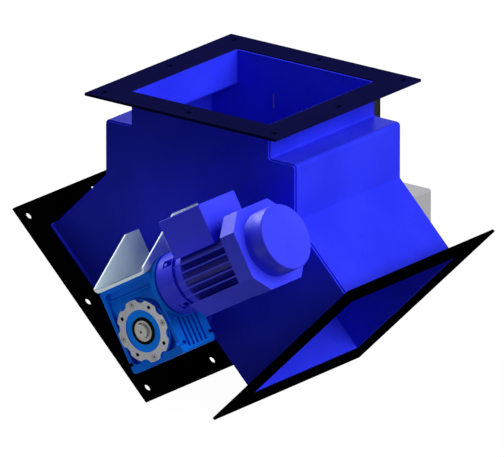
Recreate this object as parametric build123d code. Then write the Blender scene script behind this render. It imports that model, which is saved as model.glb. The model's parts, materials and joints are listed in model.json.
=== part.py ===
from build123d import *
import os
from math import atan2, cos, degrees, radians, sin, sqrt, tan

# Two-way bulk diverter valve: a sheet steel trouser housing with a swinging flap,
# turned by a worm gear motor on the front and watched by limit switches at the back.
# Frame: origin at the centre of the inlet flange's top face, +Z up, X across the two
# outlets, Y along the flap shaft. The drive is on the front, which is -Y.

# Duct and sheet
duct = 240.0                # outside width of the square duct
sheet = 3.0                 # housing sheet
bend_inside = 3.0           # inside radius of every bend
corner_lap = 1.0            # how far the front and back plates cover the wrapped sheets
duct_recess = 1.5           # the duct ends this far behind a flange's face
body_half = 165.0           # half the outside width across the shoulders
shoulder_drop = 50.0        # inlet face down to the top of the shoulders
knee_drop = 131.0           # inlet face down to where the sides turn into the chutes
chute_angle = 45.0          # slope of the chutes below level
outlet_reach = 345.0        # inlet centre to an outlet's face, measured down the slope

# Flanges
flange_size = 330.0         # outside width of the square flanges
flange_plate = 4.0          # flange thickness
hole_edge = 18.5            # flange edge to the middle of a bolt hole
flange_hole_r = 5.5         # bolt holes for M10

# Flap and shaft
core_r = 15.0               # shaft inside the duct
journal_r = 12.5            # shaft in its bearings
drive_r = 9.0               # shaft in the gear unit's bore
stub_r = 6.0                # rear end that turns the switch cam
apex_half = 5.0             # half the flat land at the top of the crotch
apex_gap = 2.3              # shaft to the crotch's land
tip_drop = 84.46            # inlet face down to the flap's tip at its stops
flap_plate = 5.0            # flap sheet
flap_edge_gap = 4.0         # steel edge of the flap to the duct wall
seal_sheet = 4.0            # rubber of the edge seal
seal_gap = 0.3              # rubber edge to the duct wall
seal_lip = 20.0             # rubber past the flap's steel tip
seal_band = 26.0            # width of the clamped border
clamp_sheet = 4.0           # clamp frame
clamp_inset = 5.0           # clamp frame's edge inside the flap's edge
bolt_r = 3.0                # bolts of the clamp frame
bolt_head_r = 5.5
bolt_head = 3.3
gusset_out = 10.0           # gussets between blade and shaft
gusset_up = 28.0
end_play = 1.5              # shaft shoulder to the inside of a wall

# Fits
run_gap = 0.05              # radial clearance of a running fit
seat_gap = 0.05             # clearance round a pressed or bolted piece
free_gap = 0.5              # radial clearance of a shaft through a wall

# Shaft bearings
bearing_pitch = 70.0        # stud to stud of a bearing's oval flange, one above the other
bearing_end_r = 12.0        # rounded ends of that flange
bearing_plate = 8.0
hub_r = 20.0
hub_length = 34.0           # wall to the hub's outer end
hub_root = 3.0              # fillet between hub and flange
hub_edge = 2.0              # chamfer of the hub's end
bush_wall = 3.5
bush_length = 20.0
bush_collar = 3.0           # collar of the bush, past its body
bush_collar_plate = 2.5
packing_r = 17.5
packing_length = 8.0
stud_r = 4.0
stud_end = 12.0             # stud standing past what it holds
washer_plate = 1.6
journal_end = 8.0           # journal past the hub's outer end

# Gear unit, worm centre distance 40
gear_centres = 40.0         # worm axis above the output axis
gear_side = 50.0            # output axis to each end face
gear_bottom = 50.0          # output axis to the foot face
gear_top = 71.5             # output axis to the top face
gear_rim = 35.5             # half width over the cast rim
gear_half = 39.0            # half width over the machined faces
gear_wall = 6.0
gear_tilt = 30.0            # the drive leans back by this angle
gear_standoff = 49.3        # housing wall to the gear unit's rear face
ring_r = 44.5               # machined ring, over its lobes
ring_waist_r = 40.2         # machined ring, between its lobes
ring_bite_r = 10.0          # radius of the bites between the lobes
ring_pcd_r = 37.5           # tapped holes of the output face
ring_recess_r = 30.0        # recess inside the ring
ring_recess = 1.5
ring_tap_r = 2.75
ring_tap_deep = 12.0
cover_screw_r = 38.8        # output axis to the cover's screws
cover_head_r = 4.6
cover_head = 2.6
cover_bolt_r = 1.9
pocket_deep = 9.0           # pockets in the rim, round the output bosses
pocket_round = 8.0
cast_round = 5.0
pocket_rib = 2.0
pocket_rib_n = 53.0         # rib across the pocket, above the output axis
hollow_r = 16.0             # output hollow shaft
oil_seal_r = 19.5
oil_seal_face = 1.1         # seal's outer side, in from the machined face
output_bearing_r = 26.0
output_bearing_in = 15.0    # inner side of the output bearings, from mid-plane
output_bearing_out = 27.0
chamber_r = 34.0            # room for the worm wheel
wheel_hub_r = 23.0
wheel_tip_r = 32.0
wheel_half = 10.0
worm_root_r = 7.4
worm_half = 22.0
worm_room_r = 14.5
worm_journal_r = 10.0
worm_bearing_r = 17.5
worm_bearing_in = 26.0
worm_bearing_out = 36.0
worm_seal_out = 43.0
worm_bore_r = 5.55
worm_end = 48.0
key_width = 6.0
key_top = 11.8              # top of the keyway above the shaft's axis
foot_slot_n = 36.0          # notches above the foot, below the output axis
foot_slot = 5.0
foot_slot_deep = 6.0
foot_slot_long = 14.0       # length of a notch, from the rim inwards
foot_pitch_x = 70.0         # tapped holes of the foot and of the top
foot_pitch_y = 40.0
rib_pitch = 9.0             # grooves in the motor side's wall
rib_gap = 4.2
rib_deep = 3.5
worm_barrel_r = 31.0        # barrel round the worm, showing in the pockets
worm_boss_wall = 8.0        # round boss at the worm's blind end
worm_boss = 4.0
end_disc_r = 10.2           # disc that holds the gear unit on the shaft
end_disc = 5.0
end_screw_r = 2.5
end_screw_long = 12.0

# Bracket that ties the gear unit to the wall
bracket_sheet = 4.0
bracket_tip = 42.5          # front tip of a wing, ahead of the gear unit's middle
bracket_nose = 8.5          # height of the wing's front edge above the gear unit
bracket_high = 61.0         # height of the wing at the wall, above the gear unit
bracket_flat = 28.0         # length of the wing's level top, out from the wall
bracket_bend = 4.0
bracket_ear = 22.0          # ears turned out along the wall
bracket_stud_low = 18.0     # studs in an ear, above the gear unit's top
bracket_stud_high = 44.0
foot_screw_r = 3.0
foot_head_r = 5.8
foot_head = 3.2

# Motor, flange mounted, frame 63
motor_flange_r = 45.0
motor_flange_at = 58.0      # joint face, from the output axis along the motor
shield_bolt_r = 38.5        # motor axis to the screws of the joint
shield_screw_r = 3.0
shield_head_r = 5.0
shield_r = 44.5             # the shield's round bell
shield_round = 6.0          # its rounded shoulder
shield_pocket = 75.0        # floor of the screw pockets, along the motor
shield_pocket_wide = 11.5
shield_end = 93.0           # rear edge of the bell, where its waist starts
shield_waist_r = 41.0
shield_bore_r = 37.5
stator_at = 94.0            # inner end of the shield's pot
frame_at = 113.0            # where the eight-sided stator housing starts
stator_end = 213.0
stator_half = 57.0          # half width of the eight-sided stator housing
stator_corner = 34.0        # where its corners are cut
stator_bore_r = 40.5
frame_round_r = 47.0        # round body between the fins
fin_pitch = 11.0
fin_plate = 2.2
fin_band = 33.0             # half height of the finned windows
drive_bearing_r = 16.0
drive_bearing = 10.0
bearing_seat = 14.0         # depth of the bearing's seat in the shield
fan_bearing_r = 15.0
fan_shaft_r = 6.0
rotor_seat_r = 7.5
rotor_seat_from = 62.0
rotor_seat_to = 199.0
motor_shaft_from = 8.0
fan_shaft_end = 6.0         # fan shaft's end, in from the cowl's end
core_from = 113.5
core_to = 182.0
winding_out = 16.0
cowl_half = 58.5
cowl_corner = 33.5
cowl_step = 240.0           # where the eight-sided cowl ends and the drum starts
cowl_end = 274.0
drum_r = 46.7
cowl_sheet = 2.0
motor_shaft_r = 5.5
rotor_r = 25.0
air_gap = 0.4
box_from = 105.0            # terminal box along the motor
box_to = 185.0
box_half = 40.0
box_foot = 31.0             # lower edge above the motor's axis
box_split = 76.0            # joint of box and lid
box_top = 87.7
box_wall = 3.5
box_round = 1.5             # upright edges of the terminal box
box_plug_z = 67.0
plug_r = 6.0
plug_inset = 22.0
lid_screw_in = 7.0

# Limit switch box on the rear shaft end
switch_half_x = 72.0
switch_half_z = 70.0
switch_at = 60.0            # housing wall to the box's back
switch_split = 95.0
switch_depth = 185.0        # housing wall to the cover's outer face
switch_wall = 3.0
switch_round = 6.0
switch_screw_in = 9.0       # cover screws, in from the box's sides
post_r = 5.0                # round posts that take the lid and cover screws
cam_r = 17.0
cam_at = 80.0               # housing wall to the cam
switch_body = 24.0          # one limit switch: width, height and depth
switch_body_high = 32.0
switch_body_deep = 30.0
switch_out = 40.0           # shaft's axis to the middle of a switch
roller_r = 5.0
roller_gap = 0.4
roller_at = 20.0            # floor to the middle of the roller
standoff_pitch = 110.0
standoff_r = 6.0

# Blockage sensor on the back of the inlet
sensor_half_x = 65.0
sensor_top = 28.0           # inlet face down to the sensor box
sensor_bottom = 118.0
sensor_feet = 2.0
sensor_depth = 84.0
sensor_round = 5.0
sensor_wall = 3.0
sensor_lid_plate = 14.0
sensor_screw_in = 9.0       # lid screws, in from the box's sides
sensor_foot_in = 12.0
sensor_foot_r = 6.0
window_inset = 11.0         # pale sensing strip seen inside the duct, in from the box's side
window_from = 53.0
window_to = 74.0
window_width = 2.0

# Worked out from the sizes above
flange_pitch = flange_size - 2 * hole_edge
window_x = window_inset - sensor_half_x
slope_s = cos(radians(chute_angle))
slope_t = sin(radians(chute_angle))
wall_y = duct / 2
inner_y = wall_y - sheet
chute_t = body_half * slope_t - knee_drop * slope_s
outlet_t = chute_t - duct / 2
outlet_x = outlet_reach * slope_s + outlet_t * slope_t
outlet_z = outlet_t * slope_s - outlet_reach * slope_t
apex_t = chute_t - duct + sheet
apex_z = (apex_t - apex_half * slope_t) / slope_s
pivot_z = apex_z + apex_gap + core_r
gear_y = -(wall_y + gear_standoff + gear_half)
tip_side = body_half - sheet - seal_gap - seal_sheet / 2
tip_rise = -tip_drop - pivot_z
flap_angle = degrees(atan2(tip_side, tip_rise))
flap_tip = sqrt(tip_side ** 2 + tip_rise ** 2)


# Small helpers

def block(x0, x1, y0, y1, z0, z1):
    """A box from its limits."""
    return Pos((x0 + x1) / 2, (y0 + y1) / 2, (z0 + z1) / 2) * Box(x1 - x0, y1 - y0, z1 - z0)


def rod_y(radius, y0, y1, x=0.0, z=0.0):
    """A round bar along Y."""
    return Pos(x, (y0 + y1) / 2, z) * Rot(90, 0, 0) * Cylinder(radius, y1 - y0)


def rod_x(radius, x0, x1, y=0.0, z=0.0):
    """A round bar along X."""
    return Pos((x0 + x1) / 2, y, z) * Rot(0, 90, 0) * Cylinder(radius, x1 - x0)


def rod_z(radius, z0, z1, x=0.0, y=0.0):
    """A round bar along Z."""
    return Pos(x, y, (z0 + z1) / 2) * Cylinder(radius, z1 - z0)


def tube_y(outer, inner, y0, y1, x=0.0, z=0.0):
    """A ring or tube along Y."""
    return rod_y(outer, y0, y1, x, z) - rod_y(inner, y0 - 1, y1 + 1, x, z)


def tube_x(outer, inner, x0, x1, y=0.0, z=0.0):
    """A ring or tube along X."""
    return rod_x(outer, x0, x1, y, z) - rod_x(inner, x0 - 1, x1 + 1, y, z)


def hex_y(across, y0, y1, x=0.0, z=0.0):
    """A hexagonal bar along Y, across flats."""
    face = RegularPolygon(across / sqrt(3), 6)
    return Pos(x, y0, z) * extrude(Rot(-90, 0, 0) * face, y1 - y0)


def hex_z(across, z0, z1, x=0.0, y=0.0):
    """A hexagonal bar along Z, across flats."""
    return Pos(x, y, z0) * extrude(RegularPolygon(across / sqrt(3), 6), z1 - z0)


def prism_x(points, x0, x1):
    """A closed outline of (Y, Z) points carried along X."""
    face = make_face(Polyline(*[(x0, y, z) for y, z in points], close=True))
    return extrude(face, x1 - x0, dir=(1, 0, 0))


def prism_y(points, y0, y1):
    """A closed outline of (X, Z) points carried along Y."""
    face = make_face(Polyline(*[(x, y0, z) for x, z in points], close=True))
    return extrude(face, y1 - y0, dir=(0, 1, 0))


def group(solids):
    """Separate solids that share one node."""
    return Compound(children=[solid for piece in solids for solid in piece.solids()])


def corners(pitch_x, pitch_z):
    """The four corners of a hole pattern."""
    return [(i * pitch_x / 2, j * pitch_z / 2) for i in (-1, 1) for j in (-1, 1)]


def drive(shape):
    """Put a piece of the gear unit or motor in its place on the flap shaft's axis."""
    return Pos(0, gear_y, pivot_z) * Rot(0, -gear_tilt, 0) * shape


def swing(shape):
    """Lean a piece of the flap, drawn upright at the pivot, to its right-hand stop."""
    return Pos(0, 0, pivot_z) * Rot(0, flap_angle, 0) * shape


# Housing

def chute_point(along, across):
    """A point of the right-hand chute, from its distance down and its distance across."""
    return (along * slope_s + across * slope_t, across * slope_s - along * slope_t)


def wall_points(grow):
    """The right-hand duct wall from inlet to outlet, its inner face moved out by grow."""
    neck = inner_y + grow
    side = body_half - sheet + grow
    shoulder = grow - sheet - shoulder_drop
    across = chute_t - sheet + grow
    knee = (across - side * slope_t) / slope_s
    end = chute_point(outlet_reach - duct_recess, across)
    return [(neck, -duct_recess), (neck, shoulder), (side, shoulder), (side, knee), end]


def crotch_points(grow):
    """The crotch from the right-hand outlet over its land, its top face moved out by grow."""
    across = apex_t - grow
    land = apex_z - grow
    right = ((across - land * slope_s) / slope_t, land)
    end = chute_point(outlet_reach - duct_recess, across)
    return [end, right, (-right[0], land), (-end[0], end[1])]


def bent_sheet(points, width):
    """A bent sheet whose middle line follows (X, Z) points, as wide as the duct inside."""
    line = FilletPolyline(*[(x, 0, z) for x, z in points], radius=bend_inside + sheet / 2)
    start = Plane(line @ 0, x_dir=(0, 1, 0), z_dir=line % 0)
    return sweep(start * Rectangle(width, sheet), path=line)


def duct_outline(grow):
    """The face of the trouser-shaped plate, its edges grow outside the duct's inner faces."""
    inner = bend_inside + grow
    outer = bend_inside + sheet - grow
    right = FilletPolyline(*[(x, 0, z) for x, z in wall_points(grow)], radius=[outer, inner, inner])
    left = mirror(right, Plane.YZ)
    crotch = FilletPolyline(*[(x, 0, z) for x, z in crotch_points(grow)], radius=outer)
    top = Line(left @ 0, right @ 0)
    right_end = Line(right @ 1, crotch @ 0)
    left_end = Line(left @ 1, crotch @ 1)
    return make_face(right.edges() + left.edges() + crotch.edges()
                     + [top.edge(), right_end.edge(), left_end.edge()])


def trouser_plate(y0):
    """A front or back plate with the shaft's hole."""
    plate = Pos(0, y0, 0) * extrude(duct_outline(corner_lap), sheet, dir=(0, 1, 0))
    return plate - rod_y(journal_r + free_gap, y0 - 1, y0 + sheet + 1, z=pivot_z)


def square_flange():
    """A flange with its face at Z = 0 and its body below."""
    plate = block(-flange_size / 2, flange_size / 2, -flange_size / 2, flange_size / 2,
                  -flange_plate, 0)
    plate -= block(-duct / 2, duct / 2, -duct / 2, duct / 2, -flange_plate - 1, 1)
    for i in (-1, 0, 1):
        for j in (-1, 0, 1):
            if i or j:
                plate -= rod_z(flange_hole_r, -flange_plate - 1, 1,
                               i * flange_pitch / 2, j * flange_pitch / 2)
    return plate


def outlet_plane(side):
    """The face of an outlet, +1 for the right-hand one."""
    return Plane((side * outlet_x, 0, outlet_z), x_dir=(0, 1, 0),
                 z_dir=(side * slope_s, 0, -slope_t))


def left_of(shape):
    """The mirror image on the left-hand side."""
    return mirror(shape, Plane.YZ)


front_plate = trouser_plate(-wall_y)
window_box = block(window_x - window_width / 2, window_x + window_width / 2,
                   inner_y, wall_y + sensor_feet, -window_to, -window_from)
back_plate = trouser_plate(inner_y) - window_box
right_side_plate = bent_sheet(wall_points(sheet / 2), 2 * inner_y)
left_side_plate = left_of(right_side_plate)
crotch_plate = bent_sheet(crotch_points(sheet / 2), 2 * inner_y)
inlet_flange = square_flange()
right_outlet_flange = outlet_plane(1).location * square_flange()
left_outlet_flange = outlet_plane(-1).location * square_flange()


# Shaft bearings, drawn for the rear wall and turned round for the front

stud_places = [(0, -bearing_pitch / 2), (0, bearing_pitch / 2)]


def bearing_housing():
    """A two-bolt oval flange with a round hub, bored for a packing ring and a bush."""
    ends = [Pos(0, z) * Circle(bearing_end_r).edge() for x, z in stud_places]
    oval = make_hull(ends + [Circle(hub_r + hub_root).edge()])
    plate = Pos(0, wall_y, 0) * extrude(Rot(90, 0, 0) * oval, -bearing_plate)
    hub = rod_y(hub_r, wall_y, wall_y + hub_length)
    hub = chamfer(hub.edges().sort_by(Axis.Y)[-1], hub_edge)
    body = plate + hub
    body -= rod_y(journal_r + bush_wall + seat_gap, wall_y + packing_length,
                  wall_y + hub_length + 1)
    body -= rod_y(packing_r + seat_gap, wall_y - 1, wall_y + packing_length)
    for x, z in stud_places:
        body -= rod_y(stud_r + free_gap, wall_y - 1, wall_y + bearing_plate + 1, x, z)
    return Pos(0, 0, pivot_z) * body


def bearing_bush():
    """A flanged plain bush, pressed in from the outer end."""
    end = wall_y + hub_length
    bush = tube_y(journal_r + bush_wall, journal_r + run_gap, end - bush_length, end)
    bush += tube_y(journal_r + bush_wall + bush_collar, journal_r + run_gap, end,
                   end + bush_collar_plate)
    return Pos(0, 0, pivot_z) * bush


def packing_ring():
    """A soft ring that keeps dust in the duct."""
    return Pos(0, 0, pivot_z) * tube_y(packing_r, journal_r + run_gap, wall_y,
                                       wall_y + packing_length)


def weld_stud(x, z, thick):
    """A stud welded to the outside of the wall, standing through a piece as thick as given."""
    return rod_y(stud_r, wall_y, wall_y + thick + stud_end, x, z)


def stud_nut(x, z, thick):
    """The washer and the nut of a stud, as one piece."""
    face = wall_y + thick
    nut_face = face + washer_plate
    washer = rod_y(2 * stud_r + 1, face, nut_face, x, z)
    nut = hex_y(3.25 * stud_r, nut_face, nut_face + 1.6 * stud_r, x, z)
    return washer + nut - rod_y(stud_r + seat_gap, wall_y, face + 2 * stud_end, x, z)


def to_front(shape):
    """Turn a rear piece round to the front wall."""
    return mirror(shape, Plane.XZ)


rear_bearing_housing = bearing_housing()
front_bearing_housing = to_front(rear_bearing_housing)
rear_bush = bearing_bush()
shaft_bushes = group([rear_bush, to_front(rear_bush)])
rear_packing = packing_ring()
packing_rings = group([rear_packing, to_front(rear_packing)])
rear_studs = [weld_stud(x, z + pivot_z, bearing_plate) for x, z in stud_places]
rear_nuts = [stud_nut(x, z + pivot_z, bearing_plate) for x, z in stud_places]
bearing_studs = rear_studs + [to_front(stud) for stud in rear_studs]
bearing_nuts = rear_nuts + [to_front(nut) for nut in rear_nuts]


# Flap: shaft, blade, rubber edge and its clamp

gear_front = gear_y - gear_half
gear_back = gear_y + gear_half
shaft_front = gear_front + 1.0
stub_end = wall_y + switch_at + 45.0


def keyway(y0, y1):
    """The slot for the key, in the shaft and in the hollow shaft alike."""
    return block(-key_width / 2, key_width / 2, y0, y1, drive_r - 3.5, key_top)


def flap_shaft_solid():
    """The stepped shaft, with its keyway turned to the drive's lean."""
    shoulder = inner_y - end_play
    shaft = rod_y(core_r, -shoulder, shoulder)
    journal = wall_y + hub_length + journal_end
    shaft += rod_y(journal_r, -journal, journal)
    shaft += rod_y(stub_r, 0, stub_end)
    nose = chamfer(rod_y(drive_r, shaft_front, 0).edges().sort_by(Axis.Y)[0], 1)
    slot = Rot(0, -gear_tilt, 0) * keyway(gear_front + 12, gear_back - 8)
    shaft = shaft + nose - slot
    shaft -= rod_y(end_screw_r + seat_gap, shaft_front - 1, shaft_front + end_screw_long + 4)
    return Pos(0, 0, pivot_z) * shaft


def flap_blade_solid():
    """The blade, butt welded to the shaft, with two small gussets."""
    half = inner_y - flap_edge_gap
    back = -seal_sheet / 2
    front = back - flap_plate
    tip = flap_tip - seal_lip
    blade = block(front, back, -half, half, 0, tip)
    blade = fillet(blade.edges().filter_by(Axis.X).group_by(Axis.Z)[-1], 6)
    for y in (-half * 0.7, 0, half * 0.7):
        blade += prism_y([(front, core_r - 4), (front - gusset_out, core_r - 8),
                          (front, core_r + gusset_up)],
                         y - flap_plate / 2, y + flap_plate / 2)
    return blade - rod_y(core_r + seat_gap, -duct, duct)


def border(half, low, top, band, x0, x1):
    """A frame open at the foot: two legs and a head."""
    outer = block(x0, x1, -half, half, low, top)
    return outer - block(x0 - 1, x1 + 1, -half + band, half - band, low - 1, top - band)


seal_half = inner_y - seal_gap
blade_half = inner_y - flap_edge_gap
clamp_half = blade_half - clamp_inset
clamp_top = flap_tip - seal_lip - clamp_inset
clamp_band = seal_band - clamp_inset
bolt_line = clamp_half - clamp_band / 2
bolt_high = clamp_top - clamp_band / 2
seal_low = core_r + 8
seal_bolt_places = [(i * bolt_line / 2, bolt_high) for i in (-2, -1, 0, 1, 2)]
seal_bolt_places += [(j * bolt_line, seal_low + (bolt_high - seal_low) * part)
                     for j in (-1, 1) for part in (0.08, 0.38, 0.69)]


def seal_holes(x0, x1, radius):
    """Holes for the seal's bolts."""
    return [rod_x(radius, x0, x1, y, z) for y, z in seal_bolt_places]


def flap_seal_solid():
    """The rubber border, wide enough to wipe the walls."""
    legs = border(seal_half, seal_low, flap_tip, seal_band + flap_edge_gap,
                  -seal_sheet / 2, seal_sheet / 2)
    head = block(-seal_sheet / 2, seal_sheet / 2, -seal_half, seal_half,
                 clamp_top - clamp_band, flap_tip)
    return legs + head


rubber = flap_seal_solid()
clamp = border(clamp_half, seal_low, clamp_top, clamp_band,
               seal_sheet / 2, seal_sheet / 2 + clamp_sheet)
blade = flap_blade_solid()
seal_bolt_list = []
seal_nut_list = []
nut_face = seal_sheet / 2 + clamp_sheet
head_face = -seal_sheet / 2 - flap_plate
for hole in seal_holes(head_face - 1, nut_face + 1, bolt_r + seat_gap):
    rubber -= hole
    clamp -= hole
    blade -= hole
for y, z in seal_bolt_places:
    head = rod_x(bolt_head_r, head_face - bolt_head, head_face, y, z)
    seal_bolt_list.append(swing(fillet(head.edges().sort_by(Axis.X)[0], 2)
                                + rod_x(bolt_r, head_face, nut_face + 7, y, z)))
    nut = Pos(nut_face, y, z) * Rot(0, 90, 0) * hex_z(10, 0, 5)
    seal_nut_list.append(swing(nut - rod_x(bolt_r + seat_gap, nut_face - 1, nut_face + 9, y, z)))

flap_shaft = flap_shaft_solid()
flap_blade = swing(blade)
flap_seal = swing(rubber)
seal_clamp = swing(clamp)
seal_bolts = group(seal_bolt_list)
seal_nuts = group(seal_nut_list)


# Gear unit, drawn about the output axis: X along the motor, Y along the shaft, Z up

def scalloped_ring(y0, y1):
    """A machined ring with eight lobes: a disc with eight shallow bites in its edge."""
    ring = rod_y(ring_r, y0, y1)
    bite_at = ring_waist_r + ring_bite_r
    for k in range(8):
        angle = radians(22.5 + 45 * k)
        ring -= rod_y(ring_bite_r, y0 - 1, y1 + 1, bite_at * cos(angle), bite_at * sin(angle))
    return ring


def tapped_face(body, face, inward):
    """Cut the four fixing holes of an output face, inward being +1 or -1 along Y."""
    for k in range(4):
        angle = radians(45 + 90 * k)
        deep = face + inward * ring_tap_deep
        body -= rod_y(ring_tap_r, min(face - inward, deep), max(face - inward, deep),
                      ring_pcd_r * cos(angle), ring_pcd_r * sin(angle))
    return body


shield_bolt_angles = (45, 135, 225, 315)
shield_bolt_places = [(shield_bolt_r * cos(radians(angle)), shield_bolt_r * sin(radians(angle)))
                      for angle in shield_bolt_angles]


def gear_housing_solid():
    """The cast housing with its rim, feet, ribs, output face and input flange."""
    body = block(-gear_side, gear_side, -gear_rim, gear_rim, -gear_bottom, gear_top)
    body = fillet(body.edges().filter_by(Axis.Y), cast_round)
    for side in (-1, 1):
        edge = sorted((side * (gear_rim + 1), side * (gear_rim - pocket_deep)))
        pocket = block(-gear_side + gear_wall, gear_side - gear_wall, edge[0], edge[1],
                       -gear_bottom + gear_wall + cast_round, gear_top - gear_wall)
        pocket = fillet(pocket.edges().filter_by(Axis.Y), pocket_round)
        rib_edge = sorted((side * (gear_rim - pocket_deep), side * (gear_rim - pocket_deep / 2)))
        rib = block(-gear_side, gear_side, rib_edge[0], rib_edge[1],
                    pocket_rib_n, pocket_rib_n + pocket_rib)
        body -= pocket - rod_y(ring_r, edge[0] - 1, edge[1] + 1) - rib
        notch_y = sorted((side * (gear_rim + 1), side * (gear_rim - foot_slot_long)))
        for end in (-1, 1):
            notch_x = sorted((end * (gear_side + 1), end * (gear_side - foot_slot_deep)))
            body -= block(notch_x[0], notch_x[1], notch_y[0], notch_y[1],
                          -foot_slot_n - foot_slot / 2, -foot_slot_n + foot_slot / 2)
    body += rod_x(worm_barrel_r, -gear_side + 1, gear_side, z=gear_centres)
    for k in range(-2, 3):
        y = k * rib_pitch
        body -= block(gear_side - rib_deep, gear_side + 1, y - rib_gap / 2, y + rib_gap / 2,
                      -gear_bottom + gear_wall, gear_centres - motor_flange_r + 4)
    body += rod_x(motor_flange_r, gear_side, motor_flange_at, z=gear_centres)
    for y, z in shield_bolt_places:
        body -= rod_x(shield_screw_r + seat_gap, gear_side, motor_flange_at + 1,
                      y, gear_centres + z)
    body += rod_x(worm_bearing_r + worm_boss_wall, -gear_side - worm_boss, -gear_side + 1,
                  z=gear_centres)
    body += scalloped_ring(gear_rim - 1, gear_half)
    body -= rod_y(ring_recess_r, gear_half - ring_recess, gear_half + 1)
    body -= rod_y(oil_seal_r + seat_gap, 0, gear_half)
    body -= rod_y(output_bearing_r + seat_gap, 0, output_bearing_out)
    body -= rod_y(chamber_r, -output_bearing_in, output_bearing_in)
    body -= rod_y(chamber_r + 1, -gear_rim - 1, -output_bearing_in)
    body -= rod_x(worm_room_r, -worm_bearing_out, worm_bearing_out, z=gear_centres)
    body -= rod_x(worm_bearing_r + seat_gap, worm_bearing_in, motor_flange_at + 1, z=gear_centres)
    body -= rod_x(worm_bearing_r + seat_gap, -gear_side - 5, -worm_bearing_in, z=gear_centres)
    body = tapped_face(body, gear_half, -1)
    for k in range(4):
        angle = radians(90 * k)
        body -= rod_y(cover_bolt_r + seat_gap, -gear_rim - 1, -gear_rim + 14,
                      cover_screw_r * cos(angle), cover_screw_r * sin(angle))
    for x, y in corners(foot_pitch_x, foot_pitch_y):
        body -= rod_z(foot_screw_r + seat_gap, gear_top - 14, gear_top + 1, x, y)
        body -= rod_z(foot_screw_r + seat_gap, -gear_bottom - 1, -gear_bottom + 10, x, y)
    return body


def gear_cover_solid():
    """The front cover: lobed ring, recess, seal bore and spigot with the bearing seat."""
    cover = scalloped_ring(-gear_half, -gear_rim)
    cover += rod_y(chamber_r + 1 - seat_gap, -gear_rim, -output_bearing_in)
    cover -= rod_y(ring_recess_r, -gear_half - 1, -gear_half + ring_recess)
    cover -= rod_y(oil_seal_r + seat_gap, -gear_half - 1, 0)
    cover -= rod_y(output_bearing_r + seat_gap, -output_bearing_out, 0)
    for k in range(4):
        tap = radians(45 + 90 * k)
        cover -= rod_y(ring_tap_r, -gear_half - 1, -gear_rim + 1,
                       ring_pcd_r * cos(tap), ring_pcd_r * sin(tap))
        screw = radians(90 * k)
        x, z = cover_screw_r * cos(screw), cover_screw_r * sin(screw)
        cover -= rod_y(cover_head_r + seat_gap, -gear_half - 1, -gear_half + cover_head, x, z)
        cover -= rod_y(cover_bolt_r + seat_gap, -gear_half - 1, -gear_rim + 1, x, z)
    return cover


def cover_screw(angle):
    """A flush cover screw with its socket."""
    x, z = cover_screw_r * cos(angle), cover_screw_r * sin(angle)
    screw = rod_y(cover_head_r, -gear_half + 0.2, -gear_half + cover_head, x, z)
    screw += rod_y(cover_bolt_r, -gear_half + cover_head, -gear_rim + 12, x, z)
    socket = hex_y(3, -gear_half - 1, -gear_half + 1.6, x, z)
    return screw - socket


def hollow_shaft_solid():
    """The output shaft with the wheel's hub and the keyway right through."""
    shaft = rod_y(hollow_r, -gear_half, gear_half) + rod_y(wheel_hub_r, -wheel_half - 2, wheel_half + 2)
    shaft = chamfer(shaft.edges().filter_by(GeomType.CIRCLE).filter_by(
        lambda e: abs(abs(e.center().Y) - gear_half) < 0.1), 0.8)
    return shaft - rod_y(drive_r + run_gap, -gear_half - 1, gear_half + 1) - keyway(
        -gear_half - 1, gear_half + 1)


def worm_wheel_solid():
    """The bronze wheel on its hub."""
    return tube_y(wheel_tip_r, wheel_hub_r + seat_gap, -wheel_half, wheel_half)


def worm_shaft_solid():
    """The worm with its two journals, bored for the motor's shaft."""
    shaft = rod_x(worm_journal_r, -worm_bearing_out - 1, -worm_half - 1)
    shaft += rod_x(worm_journal_r, worm_half + 1, worm_end)
    shaft += rod_x(worm_root_r, -worm_half - 2, worm_half + 2)
    shaft -= rod_x(worm_bore_r, 0, worm_end + 1)
    return Pos(0, 0, gear_centres) * shaft


def worm_ring(outer, inner, x0, x1):
    """A ring on the worm's axis."""
    return tube_x(outer, inner, x0, x1, z=gear_centres)


key_solid = block(-key_width / 2 + seat_gap, key_width / 2 - seat_gap,
                  -gear_half + 12.1, gear_half - 8.1, drive_r - 3.5 + seat_gap, key_top - 0.3)

gear_housing = drive(gear_housing_solid())
gear_cover = drive(gear_cover_solid())
gear_cover_screws = group([drive(cover_screw(radians(90 * k))) for k in range(4)])
hollow_shaft = drive(hollow_shaft_solid())
worm_wheel = drive(worm_wheel_solid())
shaft_key = drive(key_solid)
output_bearings = group([drive(tube_y(output_bearing_r, hollow_r + run_gap, *span)) for span in (
    (-output_bearing_out, -output_bearing_in), (output_bearing_in, output_bearing_out))])
output_seals = [drive(tube_y(oil_seal_r, hollow_r + run_gap, *span)) for span in (
    (-gear_half + oil_seal_face, -output_bearing_out), (output_bearing_out, gear_half - oil_seal_face))]
worm_shaft = drive(worm_shaft_solid())
worm_bearings = group([drive(worm_ring(worm_bearing_r, worm_journal_r + run_gap, *span)) for span in (
    (-worm_bearing_out, -worm_bearing_in), (worm_bearing_in, worm_bearing_out))])
worm_seal = drive(worm_ring(worm_bearing_r, worm_journal_r + run_gap, worm_bearing_out, worm_seal_out))
oil_seals = group(output_seals + [worm_seal])
worm_bore_cap = drive(rod_x(worm_bearing_r, -gear_side - worm_boss + 1, -gear_side + 5, z=gear_centres))


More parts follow.
